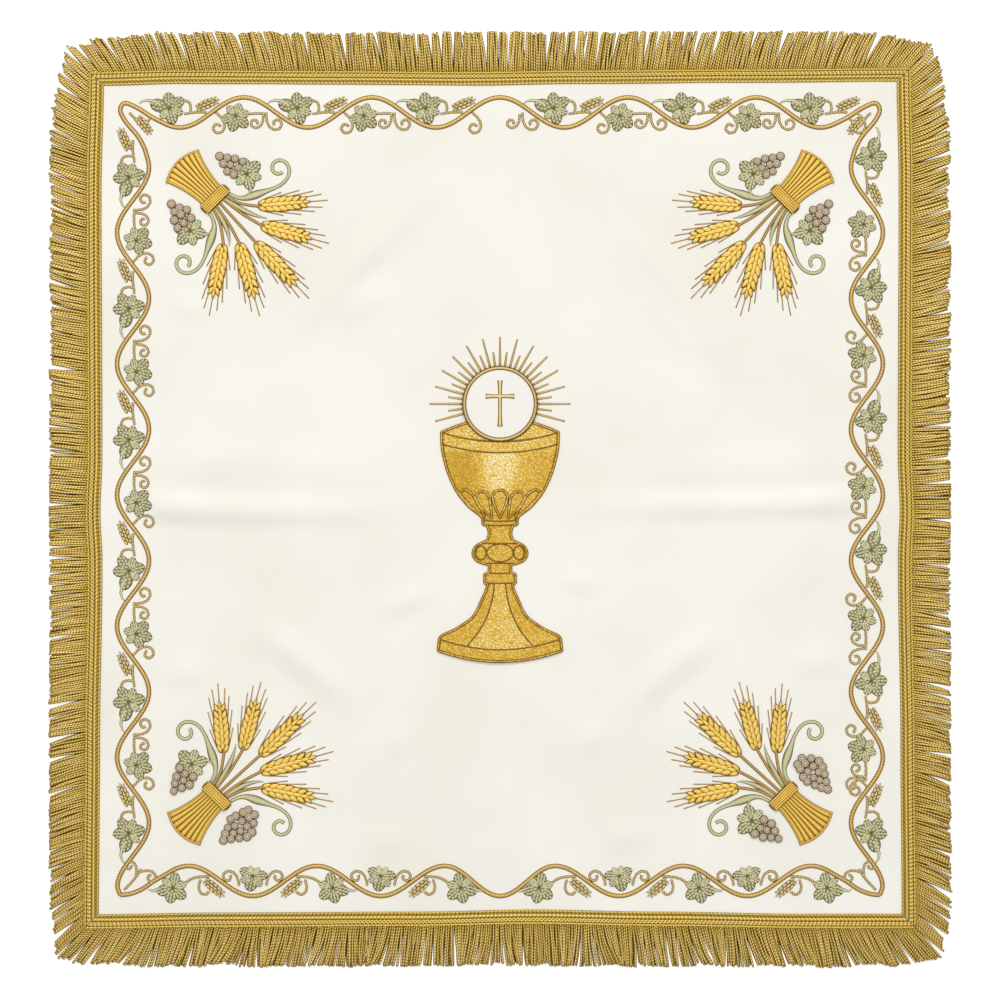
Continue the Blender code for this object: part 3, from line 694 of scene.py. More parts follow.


# The vine's leaves: light loops of chain stitch laid along each lobe over a dark green ground,
# with dark veins. One grows in every bend of the cord, on either side of it. The ground's darkness
# is painted shade between the loops.
LEAF_RISE = 0.4
LEAF_CORNERS = 54
# Painted shade between the loops, drawn as a dark sheet under them
LEAF_GROUND_SHADE = 0.19        # brightness of the ground under the loops
LEAF_CORE = 3.4           # least distance of a leaf's edge from its middle
LOBE_WAIST = (0.43, 1.6)  # how far a lobe's edge falls back to its foot, and the power of that fall
VEIN_HALF_WIDTH = 0.28
VEIN_RISE = 0.25
VEIN_LIFT = 0.38
VEIN_REACH = 0.68         # as a share of its lobe's
LOOP_SIZE = (2.5, 1.6)    # length and width of one chain stitch
LOOP_RISE = 0.45
LOOP_CORNERS = 6
ALMOND = (0.62, 0.7)      # half of an almond's width before it narrows, power of its narrowing

# The loops of one lobe. Columns: share of the lobe's reach, share of its half spread aside, turn
# from the lobe's direction
LEAF_LOOPS = (
    (0.26, 0.0, 0), (0.48, 0.0, 0), (0.69, 0.0, 0), (0.89, 0.0, 0),
    (0.42, 0.54, 26), (0.60, 0.50, 24), (0.78, 0.34, 18),
    (0.42, -0.54, -26), (0.60, -0.50, -24), (0.78, -0.34, -18),
)

# A leaf's pointed lobes. Columns: direction in degrees, distance to the point, half its spread
LEAF_LOBES = {
    "long": (
        (92, 9.8, 40), (34, 10.8, 34), (-20, 9.0, 34), (-74, 10.0, 40), (-130, 8.0, 34), (164, 12.0, 36),
    ),
    "round": (
        (70, 8.2, 38), (12, 8.8, 34), (-44, 10.6, 38), (-104, 10.6, 38), (-160, 9.6, 36), (132, 8.0, 36),
    ),
    "deep": (
        (90, 10.8, 44), (38, 9.2, 34), (-12, 10.0, 36), (-62, 6.8, 30), (-118, 6.6, 30), (-166, 9.6, 36),
        (143, 9.0, 34),
    ),
    "fan": (
        (90, 9.6, 42), (28, 10.0, 38), (-30, 8.6, 34), (-90, 9.4, 38), (-150, 8.2, 34), (152, 10.2, 38),
    ),
}

# Rings of a padded shape from its edge to its middle. Columns: share of the outline's size that
# is left, height, brightness. The brightness is painted shade at a pad's foot and a painted
# highlight on its crown, and painted shade in the middle of a chain-stitch loop; a grain's dark
# edge is also its real brown edge, and a grape's dark inner ring its real ring of stitches
RINGS = {
    "pad": ((1.0, 0.0, 0.0), (0.93, 0.50, 0.05), (0.84, 0.78, 0.85), (0.48, 0.95, 1.0), (0.12, 1.0, 0.95)),
    "leaf": ((1.0, 0.0, 0.3), (0.90, 0.75, 0.9), (0.40, 1.0, 1.0)),
    "loop": ((1.0, 0.0, 0.15), (0.68, 1.0, 1.0), (0.24, 0.8, 0.5)),
    "grain": ((1.0, 0.0, 0.0), (0.82, 0.5, 0.06), (0.62, 0.85, 0.82), (0.34, 0.97, 1.0), (0.10, 1.0, 0.8)),
    "grape": ((1.0, 0.0, 0.0), (0.86, 0.6, 0.1), (0.68, 0.85, 0.9), (0.42, 0.97, 0.42), (0.16, 1.0, 0.95)),
}


def placed(points, centre, heading, flip=1.0):
    """A motif's points, mirrored where flip is -1, turned by a heading in degrees and moved."""
    turn = math.radians(heading)
    x, y = points[..., 0], flip * points[..., 1]
    east = centre[0] + x * math.cos(turn) - y * math.sin(turn)
    north = centre[1] + x * math.sin(turn) + y * math.cos(turn)
    return np.stack((east, north), axis=-1)


def pads_part(place, centres, outlines, rise, lift, tone=1.0, rings="pad"):
    """Padded shapes: each outline (corners, 2) about its centre, drawn in and raised in rings.

    Place is the (centre, heading, flip) of the motif they belong to.
    """
    scale, up, bright = np.array(RINGS[rings]).T[..., None]
    outlines = placed(outlines, (0.0, 0.0), *place[1:])
    flat = placed(centres, *place)[:, None, None] + scale[:, None] * outlines[:, None]
    return sweep(on_cloth(flat, lift + rise * up), shade=tone * bright, twist=PLY_TOP)


def grains_part(place, centres, size, headings, rise, lift, corners, rings):
    """Padded almonds, each turned by its heading: ovals that narrow with the sine of half the angle."""
    around, points = circle(corners)
    wide, power = ALMOND
    x = size[0][:, None] / 2.0 * points[:, 0]
    y = size[1][:, None] * wide * points[:, 1] * np.abs(np.sin(around / 2.0)) ** power
    turn = np.radians(headings)[:, None]
    outlines = np.stack((x * np.cos(turn) - y * np.sin(turn), x * np.sin(turn) + y * np.cos(turn)), axis=-1)
    return pads_part(place, centres, outlines, rise, lift, 1.0, rings)


def leaf_parts(kind, place, size, turned):
    """A leaf: its dark ground of painted shade, whose edge is that of the lobe that reaches farthest, veins
    and loops.
    """
    angle, distance, spread = np.array(LEAF_LOBES[kind]).T
    angle = np.radians(angle + turned)
    around, points = circle(LEAF_CORNERS)
    turn = np.abs((around[:, None] - angle + math.pi) % math.tau - math.pi)
    fall, power = LOBE_WAIST
    reach = distance * (1.0 - fall * (turn / np.radians(spread)) ** power)
    outline = size * reach.max(axis=1).clip(LEAF_CORE)[:, None] * points
    ground = pads_part(place, np.zeros((1, 2)), outline[None], LEAF_RISE, CLEARANCE, LEAF_GROUND_SHADE, "leaf")

    share = np.linspace(0.0, VEIN_REACH, 4)[:, None]
    tips = size * distance[:, None, None] * np.stack((np.cos(angle), np.sin(angle)), axis=-1)[:, None]
    lines = placed(share * tips, *place)
    veins = cords_part(lines, VEIN_HALF_WIDTH * size, VEIN_RISE, VEIN_LIFT, tone=0.0)

    share, aside, splay = np.array(LEAF_LOOPS).T
    toward = (angle[:, None] + aside * np.radians(spread)[:, None]).ravel()
    out = size * (distance[:, None] * share).ravel()
    centres = out[:, None] * np.column_stack((np.cos(toward), np.sin(toward)))
    headings = (np.degrees(angle)[:, None] + splay).ravel()
    loop = [np.full(len(out), size * side) for side in LOOP_SIZE]
    loops = grains_part(place, centres, loop, headings, LOOP_RISE, LEAF_RISE, LOOP_CORNERS, "loop")
    return [ground, veins, loops]


# Stranded silk: two or three strands of soft green with a low gloss, in chain stitch
leaf_silk = thread_material(
    "leaf_green_silk", {0.05: "#656231", 0.45: "#b1ac7b", 0.9: "#e6dfb4"},
    roughness=0.55, metallic=0.0, grain=0.9, depth=0.3,
)


# The vine's twigs: stalks, curls and little ears in tan stranded silk, worked in chain and knot
# stitches, so that most of them look like strings of small beads.
TWIG = {"rise": 0.6, "lift": CLEARANCE, "crossing": 1.8}   # a crossing is one knot
TWIG_STEP = 0.6
TWIG_BEAD = 0.36          # how much a twig narrows between its knots
TWIG_HALF = (1.0, 1.125)  # half width at the start and at the end
TIP_BEAD = 0.4
TIP_HALF = (0.5, 0.8, 0.25)   # half width of a green curl, its swelling, share of a wave left out first
SMALL_EAR = {"width": 9.0, "pairs": 5, "rise": 0.6, "fill": 0.74, "corners": 8}
EAR_SPLAY = 26.0          # angle between an ear's axis and its grains
EAR_SHAPE = ((0.0, 0.12, 0.38, 0.75, 1.0), (0.64, 0.86, 1.0, 0.86, 0.6))   # place, size of the grains
SIDE_GRAIN = (0.24, 0.36)   # distance from the axis and width, as shares of the ear's width
MIDDLE_GRAIN = 0.30       # width likewise
GRAIN_LENGTH = 1.95       # as a share of a row's length, so that the rows overlap
GRAIN_PLACE = 0.45        # of the side grains in their row, the middle one's being twice as far
EAR_TIP = 0.4             # how much of a row is left free at the tip
GRAIN_LIFT = (0.1, 0.40, 0.02)   # off the cloth, more in the middle as a share of the rise, more a row

# Every curl winds up by one rule: its heading turns with the square of the run. Whole turns:
CURL_POWER = 2.0
CURL_TURN = {"stalk": 20.0, "arm": 80.0, "hook": 200.0, "spiral": 400.0}

# The curls of each motif, in its own frame: x runs clockwise round the veil, y outwards, and the
# origin is on the wave's middle line. Columns: turn, start x and y, first heading, length, side
MOTIF_CURLS = {
    "outer": (("stalk", 3, -1, 10, 15, -1), ("hook", 7, 0, 80, 13, 1), ("spiral", 24, 0, -40, 30, -1)),
    "inner": (("stalk", 3, -1, 5, 12, -1), ("spiral", 13, -1, -90, 24, -1), ("spiral", 15, 0, -90, 30, 1)),
    "foot_outer": (("arm", 14, -3, 180, 22, -1), ("hook", 8, -1, 110, 16, -1)),
    "foot_inner": (("spiral", 9, 3, -80, 28, 1), ("spiral", -9, 3, -100, 28, -1)),
    "sprig": (("stalk", 2, 0, -5, 10, -1), ("hook", 10, 0, 20, 12, 1)),
    "low_sprig": (("stalk", 0, 0, 0, 18, 1), ("spiral", 12, 1, 35, 24, 1), ("spiral", 16, 1, -30, 24, -1)),
}

# The little ears and the green curls that end in a leaf. Columns: start x and y, heading, length
MOTIF_EAR = {
    "outer": (11.2, 2.8, 22, 16.5),
    "foot_outer": (10.8, -0.6, 40, 17.0),
    "sprig": (8.0, 1.6, -12, 15.0),
}
MOTIF_TIP = {"outer": (-12.5, 5.0, 152, 15.5), "foot_outer": (-19.0, 4.6, 150, 8.5)}

# The leaves of each motif. Columns: shape, x, y, turn, size
MOTIF_LEAF = {
    "outer": ("long", -7.0, 2.7, 0, 1.10),
    "inner": ("round", -5.4, -2.0, 0, 1.05),
    "foot_outer": ("fan", -10.5, 4.5, 12, 1.10),
    "foot_inner": ("deep", 0.0, -3.6, 12, 1.0),
}

# The sprigs in the corners, on both sides. Columns: x and y on the right, heading on the left
SPRIGS = {"sprig": (248.0, 258.0, -40.0), "low_sprig": (250.0, -260.0, 45.0)}


def curl_line(start, heading, length, turn, begin=0.0, bend=0.0, step=TWIG_STEP):
    """A line that bends ever tighter: its heading turns with the square of the run past begin.

    Bend is an early turn, over the first fifth of the run.
    """
    share = np.linspace(0.0, 1.0, int(length / step) + 2)
    late = np.clip((share - begin) / (1.0 - begin), 0.0, 1.0) ** CURL_POWER
    angle = np.radians(heading + bend * smooth_step(share / 0.2) + turn * late)
    move = np.column_stack((np.cos(angle), np.sin(angle))) * length / (len(share) - 1)
    return np.asarray(start) + np.concatenate((np.zeros((1, 2)), np.cumsum(move[:-1], axis=0)))


def swelling(line, least, more, skipped):
    """Half widths along a line that swell by half a sine, of which the first share is skipped."""
    return least + more * np.sin(np.linspace(skipped, 1.0, len(line)) * math.pi)


def ear_part(place, base, heading, length, width, pairs, rise, fill, corners):
    """An ear: rows of two splayed grains with one laid over their middle, up to its tip.

    Where fill is under 1 the grains are smaller and the cloth shows between them.
    """
    row = np.repeat(np.arange(pairs), 3)
    side = np.tile((1.0, -1.0, 0.0), pairs)
    is_middle = side == 0.0
    share = (row + GRAIN_PLACE * (1 + is_middle)) / (pairs + EAR_TIP)
    size = np.interp(share, *EAR_SHAPE)
    aside, wide = SIDE_GRAIN
    centres = placed(np.column_stack((share * length, side * width * aside * size)), base, heading)
    wide = np.where(is_middle, MIDDLE_GRAIN, wide)
    grain = (GRAIN_LENGTH * fill * length / pairs * size, width * fill * size * wide)
    least, middle, more = GRAIN_LIFT
    lift = least + rise * middle * is_middle + more * row
    headings = heading + side * EAR_SPLAY
    return grains_part(place, centres, grain, headings, rise, lift[:, None, None], corners, "grain")


def motif_places():
    """Where each motif stands: its kind, then centre, heading and flip, bend by bend on all sides.

    Most of them run clockwise round the veil, and the mirrored ones run the other way.
    """
    side_x, _, side_half = SIDE_WAVE
    top_y, _, top_half = TOP_WAVE
    foot_y, _, foot_half = BOTTOM_WAVE
    places = []
    for bend in range(6):
        y = SIDE_WAVE_START + side_half * (2 * bend - 5)
        places.append(("outer", ((-side_x, y), 90.0, 1.0)))
        places.append(("outer", ((side_x, y), *((-90.0, 1.0) if bend else (90.0, -1.0)))))
        places.append(("outer", ((top_half * (2 * bend - 5), top_y), 0.0, 1.0)))
        x = (BOTTOM_HUMP + foot_half * 2 * (bend // 2)) * (-1.0, 1.0)[bend % 2]
        is_reversed = bend in (1, 4)
        places.append(("foot_outer", ((x, -foot_y), *((0.0, -1.0) if is_reversed else (180.0, 1.0)))))
    for bend in range(5):
        y = SIDE_WAVE_START + side_half * (2 * bend - 4)
        places.append(("inner", ((-side_x, y), 90.0, 1.0)))
        places.append(("inner", ((side_x, y), -90.0, 1.0)))
        places.append(("inner", ((top_half * (2 * bend - 4), top_y), 0.0, 1.0)))
    for x in (BOTTOM_HUMP + foot_half, BOTTOM_HUMP + 3 * foot_half):
        places.append(("foot_inner", ((-x, -foot_y), 0.0, -1.0)))
        places.append(("foot_inner", ((x, -foot_y), 180.0, 1.0)))
    for kind, (x, y, heading) in SPRIGS.items():
        places.append((kind, ((-x, y), heading, 1.0)))
        places.append((kind, ((x, y), 180.0 - heading, -1.0)))
    return places


# The motif in the middle of the top is two curls alone, and those in the upper corners' loops lack
# their spiral
twigs, leaves = [], []
for kind, place in motif_places():
    only_curls = kind == "inner" and place[0][0] == 0.0
    in_loop = kind == "outer" and place[0][1] > 200.0 and abs(place[0][0]) == SIDE_WAVE[0]
    if kind in MOTIF_LEAF and not only_curls:
        shape, x, y, turned, size = MOTIF_LEAF[kind]
        middle = placed(np.array((x, y)), *place)
        leaves.extend(leaf_parts(shape, (middle, *place[1:]), size, turned))
    for turn, x, y, heading, length, side in MOTIF_CURLS[kind][only_curls : 2 if in_loop else None]:
        line = placed(curl_line((x, y), heading, length, side * CURL_TURN[turn]), *place)
        half = np.linspace(*TWIG_HALF, len(line))
        twigs.append(cords_part(line, half, **TWIG, rim=0.1, bead=TWIG_BEAD))
    if kind in MOTIF_EAR:
        x, y, heading, length = MOTIF_EAR[kind]
        twigs.append(ear_part(place, (x, y), heading, length, **SMALL_EAR))
    if kind in MOTIF_TIP:
        x, y, heading, length = MOTIF_TIP[kind]
        line = placed(curl_line((x, y), heading, length, CURL_TURN["arm"]), *place)
        leaves.append(cords_part(line, swelling(line, *TIP_HALF), **TWIG, bead=TIP_BEAD))

# Tan silk: a stranded thread with a low gloss, with painted shade between its knots
twig_silk = thread_material(
    "tan_twig_silk", {0.05: "#6c521c", 0.45: "#b09046", 0.9: "#dec781"},
    roughness=0.55, metallic=0.15, grain=0.8, depth=0.65,
)
vine_twigs = add_piece("knotted_twigs", twigs, twig_silk, "vine")
vine_leaves = add_piece("chain_stitch_leaves", leaves, leaf_silk, "leaf")


# The sheaves: a bound sheaf of wheat in each corner, its ears towards the veil's middle, worked
# over card in gold silk with brown edges. Green blades and curls, vine leaves and grapes grow
# beside it. Each lower sheaf has a whole bunch of grapes on one side of its own frame.
SHEAVES = {
    "top_left": {"place": ((-189.0, 199.0), -45.0, 1.0), "bunch": 0.0},
    "top_right": {"place": ((189.0, 199.0), -135.0, -1.0), "bunch": 0.0},
    "bottom_left": {"place": ((-188.0, -197.0), 45.0, 1.0), "bunch": -1.0},
    "bottom_right": {"place": ((188.0, -197.0), 135.0, -1.0), "bunch": 1.0},
}

# How the sheaf's cords are laid. Columns: height, lift off the cloth, length of a stitch,
# brightness of the edges, brightness of the whole
SEWN = {
    "stalk": (0.9, 0.2, 1.5, 0.14, 1.0),
    "border": (0.99, 0.3, 1.4, 0.0, 0.8),
    "end": (1.035, 0.25, 1.4, 0.0, 0.8),
    "band": (0.6, 1.5, 1.4, 0.0, 0.95),
    "stem": (0.6, 0.15, 1.7, 0.0, 1.0),
    "awn": (0.4, 0.02, 1.6, 0.4, 1.0),
    "blade": (0.7, 0.1, 1.2, 0.25, 0.75),
    "curl": (0.9, 0.1, 1.2, 0.25, 0.78),
    "leaf_stalk": (0.5, 0.1, 1.2, 0.25, 0.78),
}

# In a sheaf's own frame x runs from the band to the ears. The stalks behind the band:
STALKS = 8
STALK_START = -2.0
STALK_END = -35.4         # on the axis, on an arc whose ends lie STALK_ARC nearer the band
STALK_ARC = 4.6
STALK_OVERLAP = 1.20
ARC_WIDTH = 0.94          # of the cord along the end, as a share of the fan's width
FAN_HALF = (8.0, 16.2)    # half width of the fan at the band and at its end
EDGE_HALF_WIDTH = 0.9     # of the cords along the fan's sides and its end
BAND_SIZE = (8.4, 23.0)
BAND_MIDDLE = -0.6
BAND_RISE = 1.5
BAND_CORNERS = 40
BAND_LIFT = 0.4
BAND_TONE = 0.9
BAND_CORDS = (-0.34, -0.17, 0.0, 0.17, 0.34)   # middles of its cords as shares of its width
BAND_CORD_HALF = (1.0, 0.45)   # half width of a cord, half its length as a share of the band's

# The ears. Columns: base x and y, heading, length, then their stem's y at the band and its pull
# aside at half way
EARS = (
    (23.5, 17.9, 49.6, 33.3, 6.2, -2.2),
    (34.3, 9.9, 30.0, 33.7, 3.6, -1.0),
    (40.0, -1.4, -1.4, 38.5, 0.4, 0.0),
    (32.4, -9.9, -29.4, 37.3, -2.6, 1.0),
    (24.9, -18.3, -55.9, 35.3, -5.4, 2.2),
)
EAR = {"width": 13.0, "pairs": 7, "rise": 0.9, "fill": 1.0, "corners": 12}
STEM_START = 2.6
STEM_BOW = 1.5            # its middle lies this far past half of its ear's x
STEM_END = 1.0            # length of a stem inside its ear
STEM_HALF_WIDTH = 1.0

# The awns on one side of an ear. Columns: share of the ear at which an awn starts, distance aside,
# length in mm, angle from the ear's axis
AWNS = ((0.08, 4.0, 13.0, 17.0), (0.34, 5.0, 16.0, 11.0), (0.58, 4.4, 17.0, 8.0), (0.80, 2.8, 15.0, 6.0))
TIP_AWN = (-1.0, 12.0)    # where the awn on the tip starts and ends
AWN_HALF_WIDTH = 0.40

# Two green blades between the stems. Columns: start x and y, heading, length, turn
BLADES = ((4.0, 4.8, 12.0, 31.0, 26.0), (4.0, -4.4, -12.0, 27.0, -40.0))
BLADE_HALF = (0.25, 1.5, 0.15)   # half width, its swelling, share of a wave left out first

# The green curl on each side of the sheaf: start, first heading, length, early bend, and the share
# of its run after which it winds up as the vine's spirals do
SIDE_CURL = {"x": 3.4, "y": 9.2, "heading": 14.0, "length": 76.0, "bend": 50.0, "begin": 0.35}
SIDE_CURL_HALF = (1.25, 1.6, 0.24, 0.10)   # half width, how much a leaf swells it, the leaf's place, width
LEAF_STALK = ((6.5, 24.0), (11.0, 21.5), (13.5, 17.0))   # from the leaf to the curl, on one side
LEAF_STALK_HALF = 0.9
SIDE_LEAF = {"x": 2.6, "y": 26.6, "size": 1.18, "turned": 60.0}

GRAPE_RADIUS = 2.9
GRAPE_RISE = 0.8
GRAPE_CORNERS = 14
GRAPE_SEED = 5
GRAPE_STRAY = 0.35        # how far a grape lies from its even place
GRAPE_SIZES = (0.90, 1.06)
GRAPE_LIFT = (0.5, 0.03)  # of the first grape, and how much higher each next one lies
AS_DRAWN = ((0.0, 0.0), 0.0, 1.0)   # the place of shapes that are drawn in the veil's own frame

# Grapes beside a leaf, on the positive side. Columns: x, y
FEW_GRAPES = (
    (-18.4, 22.4), (-13.2, 20.4), (-14.2, 25.4), (-8.0, 18.4), (-9.0, 23.4), (-9.8, 28.4),
    (-2.8, 20.2), (-4.4, 25.6), (-4.8, 30.8),
)

# A whole bunch in rows. Columns: x of the row, its middle y, how many grapes
BUNCH_ROWS = (
    (-18.0, 24.0, 1), (-14.0, 24.4, 2), (-9.8, 25.0, 3), (-5.4, 25.2, 4), (-0.8, 25.8, 4), (3.8, 25.4, 3),
    (8.0, 24.0, 2),
)
BUNCH_PITCH = 5.0


def stalk_parts(place):
    """The fan of cut stalks behind the band, a cord on each of its sides and one along its end."""
    edges = (np.arange(STALKS) + 0.5) / STALKS * 2.0 - 1.0
    end = STALK_END + STALK_ARC * edges**2
    x = STALK_START + np.linspace(0.0, 1.0, 16) * (end[:, None] - STALK_START)
    narrow, wide = FAN_HALF
    spread = narrow + (wide - narrow) * (x - STALK_START) ** 2 / (STALK_END - STALK_START) ** 2
    lines = placed(np.stack((x, edges[:, None] * spread), axis=-1), *place)
    side = np.stack((x[:1], np.abs(edges[:1, None]) * spread[:1] * STALKS / (STALKS - 1.0)), axis=-1)
    sides = placed(np.concatenate((side, side * (1.0, -1.0))), *place)
    across = np.linspace(-1.0, 1.0, 30)
    arc = placed(np.column_stack((STALK_END + STALK_ARC * across**2, across * wide * ARC_WIDTH)), *place)
    return [
        cords_part(lines, spread / STALKS * STALK_OVERLAP, *SEWN["stalk"]),
        cords_part(sides, EDGE_HALF_WIDTH, *SEWN["border"]),
        cords_part(arc, EDGE_HALF_WIDTH, *SEWN["end"]),
    ]


def band_parts(place):
    """The padded band across the sheaf, a rounded oblong, with five cords laid along it."""
    _, points = circle(BAND_CORNERS)
    outline = np.array(BAND_SIZE) / 2 * np.sign(points) * np.abs(points) ** 0.5
    pad = pads_part(place, np.array([(BAND_MIDDLE, 0.0)]), outline[None], BAND_RISE, BAND_LIFT, BAND_TONE)
    width, length = BAND_SIZE
    half_width, reach = BAND_CORD_HALF
    run, share = np.meshgrid(np.linspace(-reach, reach, 24), BAND_CORDS)
    rows = np.stack((BAND_MIDDLE + width * share, length * run), axis=-1)
    return [pad, cords_part(placed(rows, *place), half_width, *SEWN["band"])]


def stem_parts(place):
    """The stems: from the band's front edge to the ears' bases, each bowed by its pull."""
    parts = []
    for base_x, base_y, _, _, start_y, pull in EARS:
        middle = (base_x / 2.0 + STEM_BOW, (base_y + start_y) / 2.0 + pull)
        line = smooth_line(((STEM_START, start_y), middle, (base_x + STEM_END, base_y)), 1.0)
        parts.append(cords_part(placed(line, *place), STEM_HALF_WIDTH, *SEWN["stem"]))
    return parts


def awns_part(place):
    """The awns of every ear as straight lines of three points."""
    lines = []
    for base_x, base_y, heading, length, _, _ in EARS:
        for side in (-1.0, 1.0):
            for start, aside, reach, angle in AWNS:
                turn = math.radians(side * angle)
                first = np.array((start * length, side * aside))
                line = first + np.linspace(0.0, reach, 3)[:, None] * (math.cos(turn), math.sin(turn))
                lines.append(placed(placed(line, (base_x, base_y), heading), *place))
        tip = np.column_stack((length + np.linspace(*TIP_AWN, 3), np.zeros(3)))
        lines.append(placed(placed(tip, (base_x, base_y), heading), *place))
    return cords_part(np.stack(lines), AWN_HALF_WIDTH, *SEWN["awn"])


def blade_part(place, x, y, heading, length, turn):
    """A green blade: a plain curl that swells in its middle and ends in a point."""
    line = curl_line((x, y), heading, length, turn, step=1.2)
    return cords_part(placed(line, *place), swelling(line, *BLADE_HALF), *SEWN["blade"])


def side_curl_part(place, side):
    """The curl that leaves the band on one side, swells into a leaf and rolls up."""
    curl = SIDE_CURL
    line = curl_line(
        (curl["x"], side * curl["y"]), side * curl["heading"], curl["length"], side * CURL_TURN["spiral"],
        curl["begin"], side * curl["bend"], step=1.0,
    )
    least, more, middle, width = SIDE_CURL_HALF
    half = least + more * np.exp(-(((np.linspace(0.0, 1.0, len(line)) - middle) / width) ** 2))
    return cords_part(placed(line, *place), half, *SEWN["curl"])


def side_leaf_parts(place, side):
    """A vine leaf beside the sheaf and the stalk that joins it to the curl."""
    stalk = placed(smooth_line(np.array(LEAF_STALK) * (1.0, side), 1.0), *place)
    middle = placed(np.array((SIDE_LEAF["x"], side * SIDE_LEAF["y"])), *place)
    leaf = leaf_parts("fan", (middle, place[1], place[2] * side), SIDE_LEAF["size"], SIDE_LEAF["turned"])
    return [cords_part(stalk, LEAF_STALK_HALF, *SEWN["leaf_stalk"]), *leaf]


def bunch_spots(side):
    """The middles of a whole bunch's grapes on one side, row by row."""
    return [
        (x, side * (y + (grape - (count - 1) / 2.0) * BUNCH_PITCH))
        for x, y, count in BUNCH_ROWS
        for grape in range(count)
    ]


def grape_part(place, spots):
    """Round padded grapes, a little uneven in place and size."""
    draw = np.random.default_rng(GRAPE_SEED)
    radius = GRAPE_RADIUS * draw.uniform(*GRAPE_SIZES, len(spots))
    outlines = radius[:, None, None] * circle(GRAPE_CORNERS)[1]
    centres = np.array(spots) + draw.normal(0.0, GRAPE_STRAY, (len(spots), 2))
    least, more = GRAPE_LIFT
    lift = least + more * np.arange(len(spots))[:, None, None]
    return pads_part(AS_DRAWN, placed(centres, *place), outlines, GRAPE_RISE, lift, 1.0, "grape")


# Gold silk over card: flat filament silk in long parallel stitches, with brown edges and a painted
# highlight on each padded crown
wheat_silk = thread_material(
    "padded_wheat_silk", {0.08: "#84600f", 0.5: "#cf9c2c", 0.95: "#f0cd66"},
    roughness=0.45, metallic=0.35, grain=0.8, depth=0.3,
)
# Brown silk, for awns and stems: one strand in long straight stitches
awn_silk = thread_material(
    "brown_awn_silk", {0.05: "#6f4d12", 0.4: "#a0782c", 0.9: "#c69d50"},
    roughness=0.55, metallic=0.1, grain=0.8, depth=0.3,
)
# Mauve-brown silk in rings of chain stitch, with a painted highlight in the middle of each grape
grape_silk = thread_material(
    "grape_mauve_silk", {0.05: "#6a5439", 0.45: "#978264", 0.95: "#d2c1a4"},
    roughness=0.5, metallic=0.0, grain=0.8, depth=0.2,
)

for corner, sheaf in SHEAVES.items():
    place, bunch = sheaf["place"], sheaf["bunch"]
    ears = [ear_part(place, (x, y), heading, length, **EAR) for x, y, heading, length, _, _ in EARS]
    greens = [blade_part(place, *blade) for blade in BLADES]
    greens.extend(side_curl_part(place, side) for side in (1.0, -1.0))
    spots = bunch_spots(bunch) if bunch else []
    for side in (1.0, -1.0):
        if side != bunch:
            spots.extend((x, side * y) for x, y in FEW_GRAPES)
            greens.extend(side_leaf_parts(place, side))
    wheat = [*stalk_parts(place), *ears, *band_parts(place)]
    add_piece(f"wheat_sheaf_{corner}", wheat, wheat_silk, "wheat", f"sheaf_{corner}")
    awns = [awns_part(place), *stem_parts(place)]
    add_piece(f"wheat_awns_{corner}", awns, awn_silk, "wheat")
    add_piece(f"sheaf_leaves_{corner}", greens, leaf_silk, "leaf")
    add_piece(f"grapes_{corner}", [grape_part(place, spots)], grape_silk, "grape")


# The chalice: card padding under rows of laid gold thread, whose couching shows as uneven grains.
# A gold cord with dark edges runs round it, and brown lines draw its rims, the leaves below the
# bowl, the collar, the knop, the ring and the panels of the foot.
# Columns: y at the sides, half width, how far the row sags in the middle
CHALICE_ROWS = np.array((
    (-100.7, 41.2, 7.3), (-92.4, 40.0, 8.4), (-86.0, 28.4, 6.0), (-77.8, 17.5, 3.0), (-67.4, 12.2, 1.2),
    (-56.5, 8.4, 0.6), (-55.9, 10.2, 0.6), (-49.9, 10.2, 0.4), (-49.2, 7.2, 0.3), (-43.6, 7.2, 0.3),
    (-42.9, 10.5, 0.3), (-40.2, 16.2, 0.4), (-36.2, 18.0, 0.4), (-32.0, 16.4, 0.4), (-28.9, 11.5, 0.3),
    (-27.6, 8.8, 0.3), (-22.9, 7.2, 0.3), (-17.6, 8.6, 0.4), (-16.9, 11.4, 0.6), (-13.6, 11.5, 0.8),
    (-4.6, 21.0, 1.5), (5.7, 29.0, 2.6), (22.0, 35.8, 4.2), (36.2, 38.6, 5.6), (44.2, 38.9, 6.0),
))
CHALICE_COLUMNS = 40
CHALICE_STEP = 0.45
BACK_RIM_RISE = 9.2       # how far the back of the rim stands above its sides
BACK_RIM_SEEN = 0.56      # share of the half width inside which the host hides it
LAID_THREAD = {"stitch": 2.0, "pitch": 1.25}

# The padding: height past its edge, more in the middle, width of the edge, and how far the first
# and the last row are drawn down, which closes it
PADDING = {"edge": 0.8, "crown": 0.6, "slope": 2.0, "drawn": 0.64}
LINE = {"half_width": 0.5, "rise": 0.35, "tone": 0.1}
LINE_STITCH = 0.4         # stitches from one modelled point of a line to the next
LINE_MARGIN = 1.0         # a line's padding reaches this far past the chalice's side

# The outline: half widths, heights and brightness of a brown cord and of the gold one laid on it
OUTLINE = ({"half_width": 1.00, "rise": 0.45, "tone": 0.12}, {"half_width": 0.60, "rise": 0.99, "rim": 0.5})
OUTLINE_TONE = {"side": 0.74, "petal": 0.92}

# Brightness of the laid gold: its level, the painted sheen in the bowl's middle and the painted
# shade in a strip on its left side, which fade in from one height to another and out likewise, the
# sheen's half width at two heights, and how much lighter the rim and the foot's middle panel are
LAID_LEVEL = 0.71
SHEEN = {"strength": 0.38, "in": (1.0, 10.0), "out": (31.2, 29.6)}
SHEEN_HALF = ((1.0, 30.0), (8.0, 14.0))
DARK_SIDE = {"strength": 0.13, "in": (-10.0, -1.0), "out": (33.0, 31.0), "middle": -25.0, "half": 11.0}
PANEL_LIGHT = 0.15
FOOT_FROM = -93.6         # side height of the line above the foot's edge
FOOT_TOP = -56.0
RIM_FROM = 31.5

